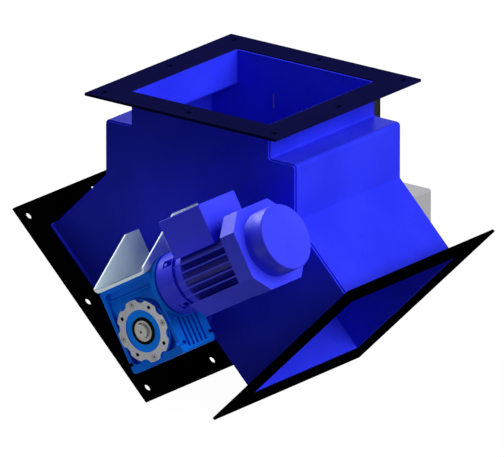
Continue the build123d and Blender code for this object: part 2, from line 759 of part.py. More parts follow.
def end_screw_solids():
    """A disc that seats on the hollow shaft, and the countersunk screw that holds it."""
    face = gear_front - end_disc
    disc = chamfer(rod_y(end_disc_r, face, gear_front).edges().sort_by(Axis.Y)[0], 1)
    cone = Pos(0, face + end_screw_r / 2, 0) * Rot(90, 0, 0) * Cone(
        end_screw_r, 2 * end_screw_r, end_screw_r)
    disc -= cone + rod_y(end_screw_r + seat_gap, face, gear_front + 1)
    screw = Pos(0, seat_gap, 0) * cone + rod_y(end_screw_r, face + end_screw_r,
                                              shaft_front + end_screw_long)
    screw -= hex_y(2 * end_screw_r - 1, face - 1, face + end_screw_r)
    return [Pos(0, 0, pivot_z) * disc, Pos(0, 0, pivot_z) * screw]


shaft_end_screw = group(end_screw_solids())


# Bracket between the gear unit's top and the wall

def bracket_solid():
    """A channel on the gear unit's top, its wings rising to ears that lie on the wall."""
    wall = -wall_y - gear_y
    base = gear_top
    high = base + bracket_high
    front = -bracket_tip
    wing = [(front, base), (front, base + bracket_nose), (wall - bracket_flat, high),
            (wall, high), (wall, base)]
    inside = gear_side - bracket_sheet
    solid = prism_x(wing, -gear_side, gear_side)
    keel = solid.edges().filter_by(Axis.Y).group_by(Axis.Z)[0]
    solid = fillet(keel, bracket_bend + bracket_sheet)
    room = block(-inside, inside, front - 1, wall + 1, base + bracket_sheet, high + 1)
    room = fillet(room.edges().filter_by(Axis.Y).group_by(Axis.Z)[0], bracket_bend)
    solid -= room
    solid -= block(-gear_side - 1, gear_side + 1, gear_half, wall + 1, base - 1, base + bracket_sheet)
    for side in (-1, 1):
        ear_x = sorted((side * inside, side * (gear_side + bracket_ear)))
        solid += block(ear_x[0], ear_x[1], wall - bracket_sheet, wall,
                       base + bracket_bend + bracket_sheet, high)
    for x, y in corners(foot_pitch_x, foot_pitch_y):
        solid -= rod_z(foot_screw_r + seat_gap, base - 1, base + bracket_sheet + 1, x, y)
        solid -= rod_z(foot_head_r + seat_gap, base + bracket_sheet - foot_head,
                       base + bracket_sheet + 1, x, y)
    for x, z in bracket_stud_places:
        solid -= rod_y(stud_r + free_gap, wall - bracket_sheet - 1, wall + 1, x, z)
    return solid


bracket_stud_places = [(side * (gear_side + bracket_ear / 2), gear_top + high)
                       for side in (-1, 1) for high in (bracket_stud_low, bracket_stud_high)]


def foot_screw(x, y):
    """A flat-headed screw through the bracket into the gear unit's top."""
    face = gear_top + bracket_sheet
    screw = rod_z(foot_head_r, face - foot_head, face - 0.2, x, y)
    screw += rod_z(foot_screw_r, gear_top - 12, face - foot_head, x, y)
    return screw - hex_z(foot_screw_r + 1, face - 2, face, x, y)


def at_wall(shape):
    """Bring a rear-wall piece to the front wall in the drive's own frame."""
    return Pos(0, -gear_y, 0) * to_front(shape)


gear_bracket = drive(bracket_solid())
foot_screws = group([drive(foot_screw(x, y)) for x, y in corners(foot_pitch_x, foot_pitch_y)])
wall_studs = group(bearing_studs + [drive(at_wall(weld_stud(x, z, bracket_sheet)))
                                    for x, z in bracket_stud_places])
wall_nuts = group(bearing_nuts + [drive(at_wall(stud_nut(x, z, bracket_sheet)))
                                  for x, z in bracket_stud_places])


# Motor, drawn about its own axis and then raised onto the worm's

def motor(shape):
    """Put a piece drawn about the motor's axis in its place."""
    return drive(Pos(0, 0, gear_centres) * shape)


def octagon(half, corner):
    """The eight-sided section of the motor as (Y, Z) points."""
    return [(-corner, half), (corner, half), (half, corner), (half, -corner),
            (corner, -half), (-corner, -half), (-half, -corner), (-half, corner)]


def screw_pocket(angle):
    """An outward-open pocket for a screw head in the bell, at an angle round the motor."""
    half = shield_pocket_wide / 2
    room = block(shield_pocket, shield_end - 1, shield_bolt_r, shield_r + 5, -half, half)
    room += rod_x(half, shield_pocket, shield_end - 1, shield_bolt_r, 0)
    return Rot(angle, 0, 0) * room


def end_shield_solid():
    """The drive end shield: a round bell with four screw pockets and a waist behind."""
    bell = rod_x(shield_r, motor_flange_at, shield_end)
    bell = fillet(bell.edges().filter_by(GeomType.CIRCLE).sort_by(Axis.X)[0], shield_round)
    bell += rod_x(shield_waist_r, shield_end - 1, frame_at)
    bell -= rod_x(shield_bore_r, stator_at, frame_at + 1)
    bell -= rod_x(drive_bearing_r + seat_gap, stator_at - bearing_seat, stator_at + 1)
    bell -= rod_x(rotor_seat_r + 2, motor_flange_at - 1, stator_at)
    for y, z in shield_bolt_places:
        bell -= rod_x(shield_screw_r + seat_gap, motor_flange_at - 1, shield_pocket + 1, y, z)
    for angle in shield_bolt_angles:
        bell -= screw_pocket(angle)
    return bell


def shield_bolt(y, z):
    """A socket screw that ties the motor to the gear unit, its head in a pocket."""
    screw = rod_x(shield_screw_r, gear_side + 1, shield_pocket, y, z)
    screw += rod_x(shield_head_r, shield_pocket, shield_pocket + 2 * shield_screw_r, y, z)
    socket = Pos(shield_pocket + shield_screw_r, y, z) * Rot(0, 90, 0) * hex_z(
        shield_head_r, 0, 2 * shield_screw_r)
    return screw - socket


def stator_housing_solid():
    """A round body in an eight-sided frame, with thin fins in its three open windows."""
    body = prism_x(octagon(stator_half, stator_corner), frame_at, stator_end)
    core = rod_x(frame_round_r, frame_at, stator_end)
    wide = stator_half + 1
    windows = block(frame_at - 1, stator_end + 1, -wide, wide, -fin_band, fin_band)
    windows += block(frame_at - 1, stator_end + 1, -fin_band, fin_band, -wide, 0)
    for k in range(-2, 3):
        low, high = k * fin_pitch - fin_plate / 2, k * fin_pitch + fin_plate / 2
        windows -= block(frame_at - 1, stator_end + 1, -wide, wide, low, high)
        windows -= block(frame_at - 1, stator_end + 1, low, high, -wide, -frame_round_r / 2)
    windows += block(frame_at - 1, stator_end + 1, -wide, wide, fin_band, wide)
    body = body - (windows - core)
    return body - rod_x(stator_bore_r, frame_at - 1, stator_end + 1)


def fan_shield_solid():
    """The shield at the fan end, let into the stator housing's bore."""
    shield = rod_x(stator_bore_r - seat_gap, stator_end - 12, stator_end)
    shield -= rod_x(fan_bearing_r + seat_gap, stator_end - 13, stator_end - 4)
    return shield - rod_x(fan_shaft_r + 1, stator_end - 13, stator_end + 1)


def cowl_solid():
    """The fan cowl: an eight-sided skirt and a round drum with a flat end, open to the motor."""
    outer = prism_x(octagon(cowl_half, cowl_corner), stator_end, cowl_step)
    outer += rod_x(drum_r, cowl_step, cowl_end)
    outer = fillet(outer.edges().filter_by(GeomType.CIRCLE).sort_by(Axis.X)[-1], 2.5)
    inner = prism_x(octagon(cowl_half - cowl_sheet, cowl_corner - cowl_sheet * tan(radians(22.5))),
                    stator_end - 1, cowl_step - cowl_sheet)
    inner += rod_x(drum_r - cowl_sheet, cowl_step - cowl_sheet - 1, cowl_end - cowl_sheet)
    return outer - inner


def fan_solid():
    """The cooling fan: a hub, a disc and straight blades."""
    tip = drum_r - cowl_sheet - 3
    fan = rod_x(12, cowl_step - 4, cowl_end - 8) + rod_x(tip - 6, cowl_step - 4, cowl_step - 1)
    for k in range(9):
        blade = block(cowl_step - 4, cowl_end - 9, -1, 1, 10, tip)
        fan += Rot(40 * k, 0, 0) * blade
    return fan - rod_x(fan_shaft_r + seat_gap, cowl_step - 5, cowl_end)


def motor_shaft_solid():
    """The rotor's shaft, from the worm's bore to the fan."""
    shaft = rod_x(motor_shaft_r, motor_shaft_from, stator_at)
    shaft += rod_x(rotor_seat_r, rotor_seat_from, rotor_seat_to)
    return shaft + rod_x(fan_shaft_r, core_from, cowl_end - fan_shaft_end)


def terminal_box_solid():
    """The box that straddles the stator's top, open upwards."""
    box = block(box_from, box_to, -box_half, box_half, box_foot, box_split)
    box = fillet(box.edges().filter_by(Axis.Z), box_round)
    room = block(box_from + box_wall, box_to - box_wall, -box_half + box_wall,
                 box_half - box_wall, frame_round_r + box_wall, box_split + 1)
    box = box - room - rod_x(frame_round_r + seat_gap, box_from - 1, box_to + 1)
    for x in plug_places:
        box -= rod_y(plug_r, box_half - box_wall - 1, box_half + 1, x, box_plug_z)
    return box


plug_places = (box_from + plug_inset, box_to - plug_inset)


def box_plug(x):
    """A blanking plug in a cable entry on the side that faces the valve."""
    plug = rod_y(plug_r - seat_gap, box_half - box_wall - 2, box_half, x, box_plug_z)
    return plug + hex_y(15, box_half, box_half + 4, x, box_plug_z)


def box_lid_solid():
    """The lid, a shallow tray upside down."""
    lid = block(box_from, box_to, -box_half, box_half, box_split, box_top)
    lid = fillet(lid.edges().filter_by(Axis.Z), box_round)
    lid = chamfer(lid.edges().group_by(Axis.Z)[-1], box_round / 2)
    inset = box_wall
    lid -= block(box_from + inset, box_to - inset, -box_half + inset, box_half - inset,
                 box_split - 1, box_top - box_wall)
    for x, y in lid_screw_places:
        lid += rod_z(5, box_split, box_top - 1, x, y)
        lid -= rod_z(2.2, box_split - 1, box_top + 1, x, y)
        lid -= rod_z(4, box_top - 2.5, box_top + 1, x, y)
    return lid


lid_screw_places = [(x, y) for x in (box_from + lid_screw_in, box_to - lid_screw_in)
                    for y in (lid_screw_in - box_half, box_half - lid_screw_in)]


def lid_screw(x, y):
    """A countersunk lid screw."""
    head = rod_z(3.8, box_top - 2.5, box_top - 0.4, x, y)
    return head + rod_z(2.0, box_split, box_top - 2.5, x, y)


def terminal_block_solid():
    """The moulded block with six terminal posts."""
    middle = (box_from + box_to) / 2
    floor = frame_round_r + box_wall
    base = block(middle - 24, middle + 24, -14, 14, floor, floor + 8)
    for i in (-1, 0, 1):
        for y in (-7, 7):
            base += rod_z(2, floor + 8, floor + 14, middle + 15 * i, y)
    return base


motor_end_shield = motor(end_shield_solid())
motor_flange_screws = group([motor(shield_bolt(y, z)) for y, z in shield_bolt_places])
stator_housing = motor(stator_housing_solid())
fan_end_shield = motor(fan_shield_solid())
stator_core = motor(tube_x(stator_bore_r - seat_gap, rotor_r + air_gap, core_from, core_to))
stator_windings = group([motor(tube_x(stator_bore_r - 4, rotor_r + 3, *span)) for span in (
    (core_from - winding_out, core_from), (core_to, core_to + winding_out))])
motor_shaft = motor(motor_shaft_solid())
rotor_core = motor(tube_x(rotor_r, rotor_seat_r + seat_gap, core_from, core_to))
motor_bearings = group([
    motor(tube_x(drive_bearing_r, rotor_seat_r + run_gap, stator_at - bearing_seat,
                 stator_at - bearing_seat + drive_bearing)),
    motor(tube_x(fan_bearing_r, fan_shaft_r + run_gap, stator_end - 12, stator_end - 4))])
cooling_fan = motor(fan_solid())
fan_cowl = motor(cowl_solid())
terminal_box = motor(terminal_box_solid())
terminal_box_lid = motor(box_lid_solid())
terminal_lid_screws = [motor(lid_screw(x, y)) for x, y in lid_screw_places]
terminal_block = motor(terminal_block_solid())
cable_entry_plugs = group([motor(box_plug(x)) for x in plug_places])


# Limit switch box behind the rear bearing

def switch_room(y0, y1, inset, round_r):
    """A rounded box about the shaft's axis, inset from the outside."""
    box = block(-switch_half_x + inset, switch_half_x - inset, y0, y1,
                -switch_half_z + inset, switch_half_z - inset)
    return fillet(box.edges().filter_by(Axis.Y), round_r)


box_back = wall_y + switch_at
box_joint = wall_y + switch_split
box_face = wall_y + switch_depth
standoff_places = corners(standoff_pitch, standoff_pitch)
switch_screw_places = corners(2 * (switch_half_x - switch_screw_in),
                              2 * (switch_half_z - switch_screw_in))


def switch_base_solid():
    """The back of the box, with the shaft's hole and four screw posts."""
    base = switch_room(box_back, box_joint, 0, switch_round)
    base -= switch_room(box_back + switch_wall, box_joint + 1, switch_wall, switch_round - 2)
    for x, z in switch_screw_places:
        base += rod_y(post_r, box_back, box_joint, x, z)
        base -= rod_y(1.9, box_joint - 14, box_joint + 1, x, z)
    for x, z in standoff_places:
        base -= rod_y(2.6, box_back - 1, box_back + switch_wall + 1, x, z)
    return base - rod_y(stub_r + 2, box_back - 1, box_back + switch_wall + 1)


def switch_cover_solid():
    """The deep cover with its rounded outer edge."""
    cover = switch_room(box_joint, box_face, 0, switch_round)
    cover = fillet(cover.edges().group_by(Axis.Y)[-1], switch_round - 1)
    cover -= switch_room(box_joint - 1, box_face - switch_wall, switch_wall, switch_round - 2)
    for x, z in switch_screw_places:
        cover += rod_y(post_r, box_joint, box_face - switch_wall + 1, x, z)
        cover -= rod_y(2.2, box_joint - 1, box_face + 1, x, z)
        cover -= rod_y(4, box_face - 6, box_face + 1, x, z)
    return cover


def switch_screw(x, z):
    """A long cover screw in its sunk seat."""
    return rod_y(3.8, box_face - 6, box_face - 3, x, z) + rod_y(1.8, box_joint - 12, box_face - 6, x, z)


def standoff(x, z):
    """A hexagon pillar from the wall to the box, with a screw through the box's back."""
    pillar = hex_y(2 * standoff_r, wall_y, box_back, x, z)
    screw = rod_y(2.5, box_back, box_back + switch_wall, x, z)
    return pillar + screw + rod_y(4.5, box_back + switch_wall, box_back + switch_wall + 2.5, x, z)


def limit_switch(side):
    """A roller limit switch on the box's floor, its roller just off the cam."""
    floor = box_back + switch_wall
    body = block(side * switch_out - switch_body / 2, side * switch_out + switch_body / 2,
                 floor, floor + switch_body_deep, -switch_body_high / 2, switch_body_high / 2)
    roller_x = side * (cam_r + roller_gap + roller_r)
    roller = rod_y(roller_r, floor + roller_at - 3, floor + roller_at + 3, roller_x, 0)
    arm_from, arm_to = sorted((roller_x, side * (switch_out - switch_body / 2 + 2)))
    arm = block(arm_from, arm_to, floor + roller_at - 3, floor + roller_at + 3, -2, 2)
    return body + roller + arm


cam_y = wall_y + cam_at


def switch_cam_solid():
    """A round cam with two flats, clamped on the shaft's rear end."""
    cam = rod_y(cam_r, cam_y - 5, cam_y + 8) - rod_y(stub_r + seat_gap, cam_y - 6, cam_y + 9)
    cam -= block(-20, 20, cam_y - 6, cam_y + 2, cam_r - 3, cam_r + 1)
    return cam


def at_pivot(shape):
    """Move a piece drawn about the shaft's axis down to the pivot."""
    return Pos(0, 0, pivot_z) * shape


switch_box_base = at_pivot(switch_base_solid())
switch_box_cover = at_pivot(switch_cover_solid())
switch_cover_screws = [at_pivot(switch_screw(x, z)) for x, z in switch_screw_places]
switch_standoffs = group([at_pivot(standoff(x, z)) for x, z in standoff_places])
limit_switches = group([at_pivot(limit_switch(side)) for side in (-1, 1)])
switch_cam = at_pivot(switch_cam_solid())


# Blockage sensor behind the inlet

def sensor_corners(inset):
    """Four places inset from the sensor's sides."""
    return [(x, z) for x in (inset - sensor_half_x, sensor_half_x - inset)
            for z in (inset - sensor_bottom, -sensor_top - inset)]


sensor_screw_places = sensor_corners(sensor_screw_in)
sensor_face = wall_y + sensor_depth
sensor_joint = sensor_face - sensor_lid_plate


def sensor_box_solid():
    """The sensor's rounded housing on the wall, with four short feet."""
    back = wall_y + sensor_feet
    box = block(-sensor_half_x, sensor_half_x, back, sensor_joint, -sensor_bottom, -sensor_top)
    box = fillet(box.edges().filter_by(Axis.Y), sensor_round)
    for x, z in sensor_corners(sensor_foot_in):
        box += rod_y(sensor_foot_r, wall_y, back, x, z)
    inset = sensor_wall
    room = block(-sensor_half_x + inset, sensor_half_x - inset, back + inset,
                 sensor_face, -sensor_bottom + inset, -sensor_top - inset)
    posts = [rod_y(post_r, back, sensor_joint, x, z) for x, z in sensor_screw_places]
    return box - room + posts


def sensor_lid_solid():
    """The sensor's lid with softened edges."""
    lid = block(-sensor_half_x, sensor_half_x, sensor_joint, sensor_face,
                -sensor_bottom, -sensor_top)
    lid = fillet(lid.edges().filter_by(Axis.Y), sensor_round)
    lid = fillet(lid.edges().group_by(Axis.Y)[-1], 3)
    for x, z in sensor_screw_places:
        lid -= rod_y(4, sensor_face - 4, sensor_face + 1, x, z)
    return lid


sensor_box = sensor_box_solid()
sensor_lid = sensor_lid_solid()
sensor_lid_screws = [rod_y(3.8, sensor_face - 4, sensor_face - 1.2, x, z)
                     for x, z in sensor_screw_places]
lid_screws = group(terminal_lid_screws + switch_cover_screws + sensor_lid_screws)
sensor_window = window_box


# Every piece under its own name

pieces = {
    "inlet_flange": inlet_flange,
    "left_outlet_flange": left_outlet_flange,
    "right_outlet_flange": right_outlet_flange,
    "front_plate": front_plate,
    "back_plate": back_plate,
    "left_side_plate": left_side_plate,
    "right_side_plate": right_side_plate,
    "crotch_plate": crotch_plate,
    "front_bearing_housing": front_bearing_housing,
    "rear_bearing_housing": rear_bearing_housing,
    "shaft_bushes": shaft_bushes,
    "packing_rings": packing_rings,
    "wall_studs": wall_studs,
    "wall_nuts": wall_nuts,
    "flap_shaft": flap_shaft,
    "flap_blade": flap_blade,
    "flap_seal": flap_seal,
    "seal_clamp": seal_clamp,
    "seal_bolts": seal_bolts,
    "seal_nuts": seal_nuts,
    "gear_housing": gear_housing,
    "gear_cover": gear_cover,
    "gear_cover_screws": gear_cover_screws,
    "hollow_shaft": hollow_shaft,
    "worm_wheel": worm_wheel,
    "shaft_key": shaft_key,
    "output_bearings": output_bearings,
    "oil_seals": oil_seals,
    "worm_shaft": worm_shaft,
    "worm_bearings": worm_bearings,
    "worm_bore_cap": worm_bore_cap,
    "shaft_end_screw": shaft_end_screw,
    "gear_bracket": gear_bracket,
    "foot_screws": foot_screws,
    "motor_end_shield": motor_end_shield,
    "motor_flange_screws": motor_flange_screws,
    "stator_housing": stator_housing,
    "fan_end_shield": fan_end_shield,
    "stator_core": stator_core,
    "stator_windings": stator_windings,
    "motor_shaft": motor_shaft,
    "rotor_core": rotor_core,
    "motor_bearings": motor_bearings,
    "cooling_fan": cooling_fan,
    "fan_cowl": fan_cowl,
    "terminal_box": terminal_box,
    "terminal_box_lid": terminal_box_lid,
    "lid_screws": lid_screws,
    "terminal_block": terminal_block,
    "cable_entry_plugs": cable_entry_plugs,
    "switch_box": switch_box_base,
    "switch_cover": switch_box_cover,
    "switch_standoffs": switch_standoffs,
    "limit_switches": limit_switches,
    "switch_cam": switch_cam,
    "sensor_box": sensor_box,
    "sensor_lid": sensor_lid,
    "sensor_window": sensor_window,
}

os.makedirs("parts", exist_ok=True)
for name, shape in pieces.items():
    export_step(shape, "parts/" + name + ".step")
print(len(pieces), "pieces; pivot at", round(pivot_z, 2), "flap tip radius", round(flap_tip, 1))
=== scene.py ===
# %% [markdown]
# A bulk diverter valve dressed in Blender
#
# Powder or grain falls into the square inlet on top, a flap inside leans to one side,
# and the bulk goes down one of the two sloping legs. A geared motor on the front turns
# the flap's shaft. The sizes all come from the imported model, which is loaded first and
# never moved. This script adds the finishes, the light, the camera and the small
# surface detail such as weld beads and threads.

# %% Load the frame
import json
from math import atan2, cos, degrees, pi, radians, sin

import bpy
import numpy as np
from mathutils import Matrix, Vector


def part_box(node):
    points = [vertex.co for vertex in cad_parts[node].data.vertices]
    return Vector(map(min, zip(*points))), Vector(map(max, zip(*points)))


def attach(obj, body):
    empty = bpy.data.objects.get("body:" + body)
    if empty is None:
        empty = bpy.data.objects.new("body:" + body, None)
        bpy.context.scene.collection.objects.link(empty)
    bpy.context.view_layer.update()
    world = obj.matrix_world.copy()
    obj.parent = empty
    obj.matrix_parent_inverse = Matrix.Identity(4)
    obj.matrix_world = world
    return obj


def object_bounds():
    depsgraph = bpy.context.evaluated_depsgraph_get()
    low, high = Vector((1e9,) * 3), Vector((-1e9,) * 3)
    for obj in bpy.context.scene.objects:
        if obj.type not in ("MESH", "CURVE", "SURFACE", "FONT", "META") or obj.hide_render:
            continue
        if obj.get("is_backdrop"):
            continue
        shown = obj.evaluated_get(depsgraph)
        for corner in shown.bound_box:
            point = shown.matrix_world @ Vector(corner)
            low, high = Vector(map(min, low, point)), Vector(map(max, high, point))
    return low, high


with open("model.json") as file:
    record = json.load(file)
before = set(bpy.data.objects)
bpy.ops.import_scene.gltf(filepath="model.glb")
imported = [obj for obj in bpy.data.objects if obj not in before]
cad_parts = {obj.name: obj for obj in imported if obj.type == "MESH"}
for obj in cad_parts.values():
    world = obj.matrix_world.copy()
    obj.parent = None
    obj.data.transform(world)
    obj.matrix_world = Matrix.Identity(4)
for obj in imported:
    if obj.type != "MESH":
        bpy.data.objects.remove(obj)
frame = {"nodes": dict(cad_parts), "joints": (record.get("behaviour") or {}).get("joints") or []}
cad_low, cad_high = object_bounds()
nodes = frame["nodes"]
print(len(nodes), "pieces, from", tuple(cad_low), "to", tuple(cad_high))

# %% [markdown]
# Four helpers serve every finish below. The first turns a colour as a painter would
# pick it on a screen, a hex value, into the linear light that Blender computes with.
# The second adds one shader node, sets what it is told and links the rest, so that a
# material reads as a short list. The others open an empty material and close a full one.
# Nodes could be placed by hand in the shader editor too, but a list can be read,
# compared and run again.

# %% Colour and node helpers
MM = 0.001                      # Blender's unit here is the metre


def linear(code):
    """sRGB hex to linear RGBA: c/12.92 below 0.04045, else ((c+0.055)/1.055) to the power 2.4."""
    value = np.array([int(code[i:i + 2], 16) for i in (1, 3, 5)]) / 255
    light = np.where(value <= 0.04045, value / 12.92, ((value + 0.055) / 1.055) ** 2.4)
    return (*light.tolist(), 1.0)


def add(tree, kind, inputs=None, **settings):
    """Add a node; inputs maps a socket to a value, or to another node's output to link."""
    node = tree.nodes.new("ShaderNode" + kind)
    for name, value in settings.items():
        setattr(node, name, value)
    for socket, value in (inputs or {}).items():
        if isinstance(value, bpy.types.NodeSocket):
            tree.links.new(value, node.inputs[socket])
        else:
            node.inputs[socket].default_value = value
    return node


def new_finish(name):
    """An empty material, its node tree and the object's own coordinates in metres."""
    material = bpy.data.materials.new(name)
    material.use_nodes = True
    material.node_tree.nodes.clear()
    tree = material.node_tree
    return material, tree, add(tree, "TexCoord").outputs["Object"]


def close_finish(material, tree, shader):
    """Link the last shader to the material's output."""
    add(tree, "OutputMaterial", {"Surface": shader.outputs[0]})
    print("finish", material.name, "with", len(tree.nodes), "nodes")
    return material


print("the housing's blue in linear light:", [round(part, 3) for part in linear("#2d36ee")[:3]])

# %% [markdown]
# Two lines in space are needed again and again: the flap's pivot, which is also the
# output shaft of the gear unit, and the motor's axis, which leans with the whole drive.
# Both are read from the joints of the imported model, so that they can't differ from it.

# %% Pivot and motor axis
pivot = Vector(next(j["pos_m"] for j in frame["joints"] if j["name"] == "flap_swing"))
worm = next(j for j in frame["joints"] if j["name"] == "rotor_spin")
motor_axis = Vector(worm["axis"]).normalized()
lean = atan2(motor_axis.z, motor_axis.x)
print("flap pivot", tuple(pivot), "drive leans by", round(degrees(lean), 1), "degrees")

# %% [markdown]
# The photograph is a long-lens view from the front right, a little above. Its lines
# hardly converge, so the camera stands 23 m away with a very long lens. An orthographic
# camera would do the same, but a real lens keeps the trace of depth that the eye expects.
# The direction and the scale were fitted to the corners of the three square flanges.

# %% Camera
view_azimuth = radians(37.508)
view_elevation = radians(18.777)
picture_width = 0.69294         # metres across the picture, at the valve
lens = 1200.0                   # millimetres, as the sensor's width
sensor = 36.0
aim_right, aim_up = -0.00139, -0.19606     # metres from the inlet's middle to the picture's

right = Vector((cos(view_azimuth), sin(view_azimuth), 0))
back = Vector((sin(view_azimuth) * cos(view_elevation),
               -cos(view_azimuth) * cos(view_elevation), sin(view_elevation)))
up = back.cross(right)
distance = picture_width * lens / sensor

camera = bpy.data.objects.new("camera", bpy.data.cameras.new("camera"))
bpy.context.scene.collection.objects.link(camera)
bpy.context.scene.camera = camera
camera.data.lens, camera.data.sensor_width = lens, sensor
camera.data.clip_start, camera.data.clip_end = 1.0, 100.0
camera.location = right * aim_right + up * aim_up + back * distance
camera.rotation_euler = back.to_track_quat("Z", "Y").to_euler()
print("camera", round(distance, 2), "m away")

# %% [markdown]
# The light is a plain studio set. A broad soft key stands to the right and above, so
# that the faces turned to the right glow while the front stays deep blue. A wide pale
# lamp to the left whitens the upper edges. Area lamps close by could do this too, but
# their light fades along the valve, and a far lamp, which Blender calls a sun, gives all
# three flanges the same. The angle of a sun is how large it looks, so a wide one is soft.

# %% Far lamps
key_from = Vector((0.84, 0.15, 0.54))
key_strength = 1.12 * pi        # a lamp of pi shows a colour as it is written
key_softness = radians(50)
sheen_from = Vector((-0.84, 0.08, 0.53))
sheen_strength = 0.8 * pi
sheen_softness = radians(35)


def add_sun(name, direction, strength, softness):
    """A far lamp that shines from the given direction."""
    lamp = bpy.data.lights.new(name, "SUN")
    lamp.energy, lamp.angle = strength, softness
    body = bpy.data.objects.new(name, lamp)
    body.rotation_euler = direction.to_track_quat("Z", "Y").to_euler()
    bpy.context.scene.collection.objects.link(body)
    return body


add_sun("key_lamp", key_from, key_strength, key_softness)
add_sun("sheen_lamp", sheen_from, sheen_strength, sheen_softness)
print("key", round(key_strength, 2), "sheen", round(sheen_strength, 2))

# %% [markdown]
# Two lamps belong to the drive alone, as a photographer would flag them off the rest.
# Blender calls this light linking: a lamp is given a collection of the objects that it
# lights. A far lamp low on the left rims the drum of the fan cowl. It casts no shadow,
# because the eight-sided skirt of the cowl would otherwise keep it off the drum behind.
# The other is a small square lamp in front of the gear unit, which lights the castings
# and leaves the blue plate behind them alone.

# %% Lamps of the drive
rim_from = Vector((-0.88, 0.43, 0.20))
rim_strength = 1.25 * pi
rim_softness = radians(36)
drive_lamp_at = Vector((-0.10, -0.62, -0.42))
drive_lamp_power = 0.8
drive_lamp_width = 0.20
drive_names = ["motor_end_shield", "motor_flange_screws", "stator_housing", "fan_end_shield",
               "fan_cowl", "terminal_box", "terminal_box_lid", "lid_screws",
               "cable_entry_plugs", "gear_housing", "gear_cover", "gear_cover_screws",
               "worm_bore_cap", "gear_bracket", "oil_seals", "hollow_shaft",
               "shaft_end_screw", "shaft_key", "foot_screws"]


def light_only(lamp, names):
    """Let a lamp reach the named pieces and nothing else."""
    lit = bpy.data.collections.new("lit_by_" + lamp.name)
    for name in names:
        lit.objects.link(nodes[name])
    lamp.light_linking.receiver_collection = lit
    print(lamp.name, "lights", len(names), "pieces alone")


rim_lamp = add_sun("rim_lamp", rim_from, rim_strength, rim_softness)
rim_lamp.data.use_shadow = False
light_only(rim_lamp, ["fan_cowl"])

drive_middle = sum(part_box("gear_housing"), Vector()) / 2
square = bpy.data.lights.new("drive_lamp", "AREA")
square.energy, square.size = drive_lamp_power, drive_lamp_width
drive_lamp = bpy.data.objects.new("drive_lamp", square)
drive_lamp.location = drive_lamp_at
drive_lamp.rotation_euler = (drive_lamp_at - drive_middle).to_track_quat("Z", "Y").to_euler()
drive_lamp.visible_camera = False
bpy.context.scene.collection.objects.link(drive_lamp)
light_only(drive_lamp, drive_names)

# %% [markdown]
# The world gives a little light from everywhere, as the white walls of a studio do. To
# the camera and in reflections it is plain white, so that the background is white with
# no extra light on the valve. The Light Path node tells which kind of ray is asking.

# %% World
world_strength = 0.10


def seen_plainly(tree):
    """1 for a ray from the camera, off a glossy surface or through a clear one, else 0."""
    path = add(tree, "LightPath")
    seen = path.outputs["Is Camera Ray"]
    for ray in ("Is Glossy Ray", "Is Transmission Ray"):
        seen = add(tree, "Math", {0: seen, 1: path.outputs[ray]}, operation="MAXIMUM").outputs[0]
    return seen


world = bpy.data.worlds.new("studio")
bpy.context.scene.world = world
world.use_nodes = True
world.node_tree.nodes.clear()
strength = add(world.node_tree, "MapRange", {"Value": seen_plainly(world.node_tree),
                                             "To Min": world_strength, "To Max": 1.0})
shown = add(world.node_tree, "Background", {"Color": (1, 1, 1, 1),
                                            "Strength": strength.outputs[0]})
add(world.node_tree, "OutputWorld", {"Surface": shown.outputs[0]})

bpy.context.scene.view_settings.view_transform = "Standard"
print("world", world_strength, "and 1 where it is seen")

# %% [markdown]
# The floor is one pale sheet just under the lowest flange edge. Seen directly it is
# nearly white with a faint shadow, so that the valve stands on something. White paint
# alone would throw light back up at the valve, so the sheet is a grey that glows only
# where it is looked at.

# %% Floor
floor_half = 30.0               # metres from its middle to an edge, past all that is seen
floor_gap = 0.5 * MM
floor_grey = "#606060"
floor_glow = 1.36               # strength of the white that is seen
floor_glow_share = 0.72         # the rest is grey paint, which keeps the valve's shadow

floor_height = cad_low.z - floor_gap
floor_mesh = bpy.data.meshes.new("floor")
floor_mesh.from_pydata([(x * floor_half, y * floor_half, floor_height)
                        for x, y in ((-1, -1), (1, -1), (1, 1), (-1, 1))], [], [(0, 1, 2, 3)])
floor = bpy.data.objects.new("floor", floor_mesh)
bpy.context.scene.collection.objects.link(floor)
floor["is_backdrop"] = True

floor_finish, tree, where = new_finish("pale_floor")
share = add(tree, "Math", {0: seen_plainly(tree), 1: floor_glow_share}, operation="MULTIPLY")
plain = add(tree, "BsdfDiffuse", {"Color": linear(floor_grey)})
white = add(tree, "Emission", {"Color": (1, 1, 1, 1), "Strength": floor_glow})
mixed = add(tree, "MixShader", {0: share.outputs[0], 1: plain.outputs[0], 2: white.outputs[0]})
floor_mesh.materials.append(close_finish(floor_finish, tree, mixed))

# %% [markdown]
# Sprayed enamel covers the housing, the motor and the gear unit. Up close such paint is
# never flat: it has a fine ripple called orange peel, about two millimetres across, the
# film is a touch thicker in some places, so its tone drifts over a hand's width, and it
# is a little duller where it has been touched. A photograph of paint could be wrapped
# round the parts, but noise in the object's own millimetres needs no unwrapping and has
# the right grain everywhere. One function builds that coat, and each painted part then
# calls it with its own colour and coarseness.

# %% Sprayed enamel
film_drift = 90 * MM            # a hand's width
rub_patch = 14 * MM             # a finger's width
rub_swing = 0.08                # how much rougher or smoother a rubbed patch is


def near_motor_axis(tree, where, radius):
    """1 closer to the motor's axis than radius: the length of (p - axis point) x axis."""
    arm = add(tree, "VectorMath", {0: where, 1: Vector(worm["pos_m"])}, operation="SUBTRACT")
    turned = add(tree, "VectorMath", {0: arm.outputs[0], 1: motor_axis},
                 operation="CROSS_PRODUCT")
    far = add(tree, "VectorMath", {0: turned.outputs[0]}, operation="LENGTH")
    near = add(tree, "Math", {0: far.outputs["Value"], 1: radius}, operation="LESS_THAN")
    return near.outputs[0]


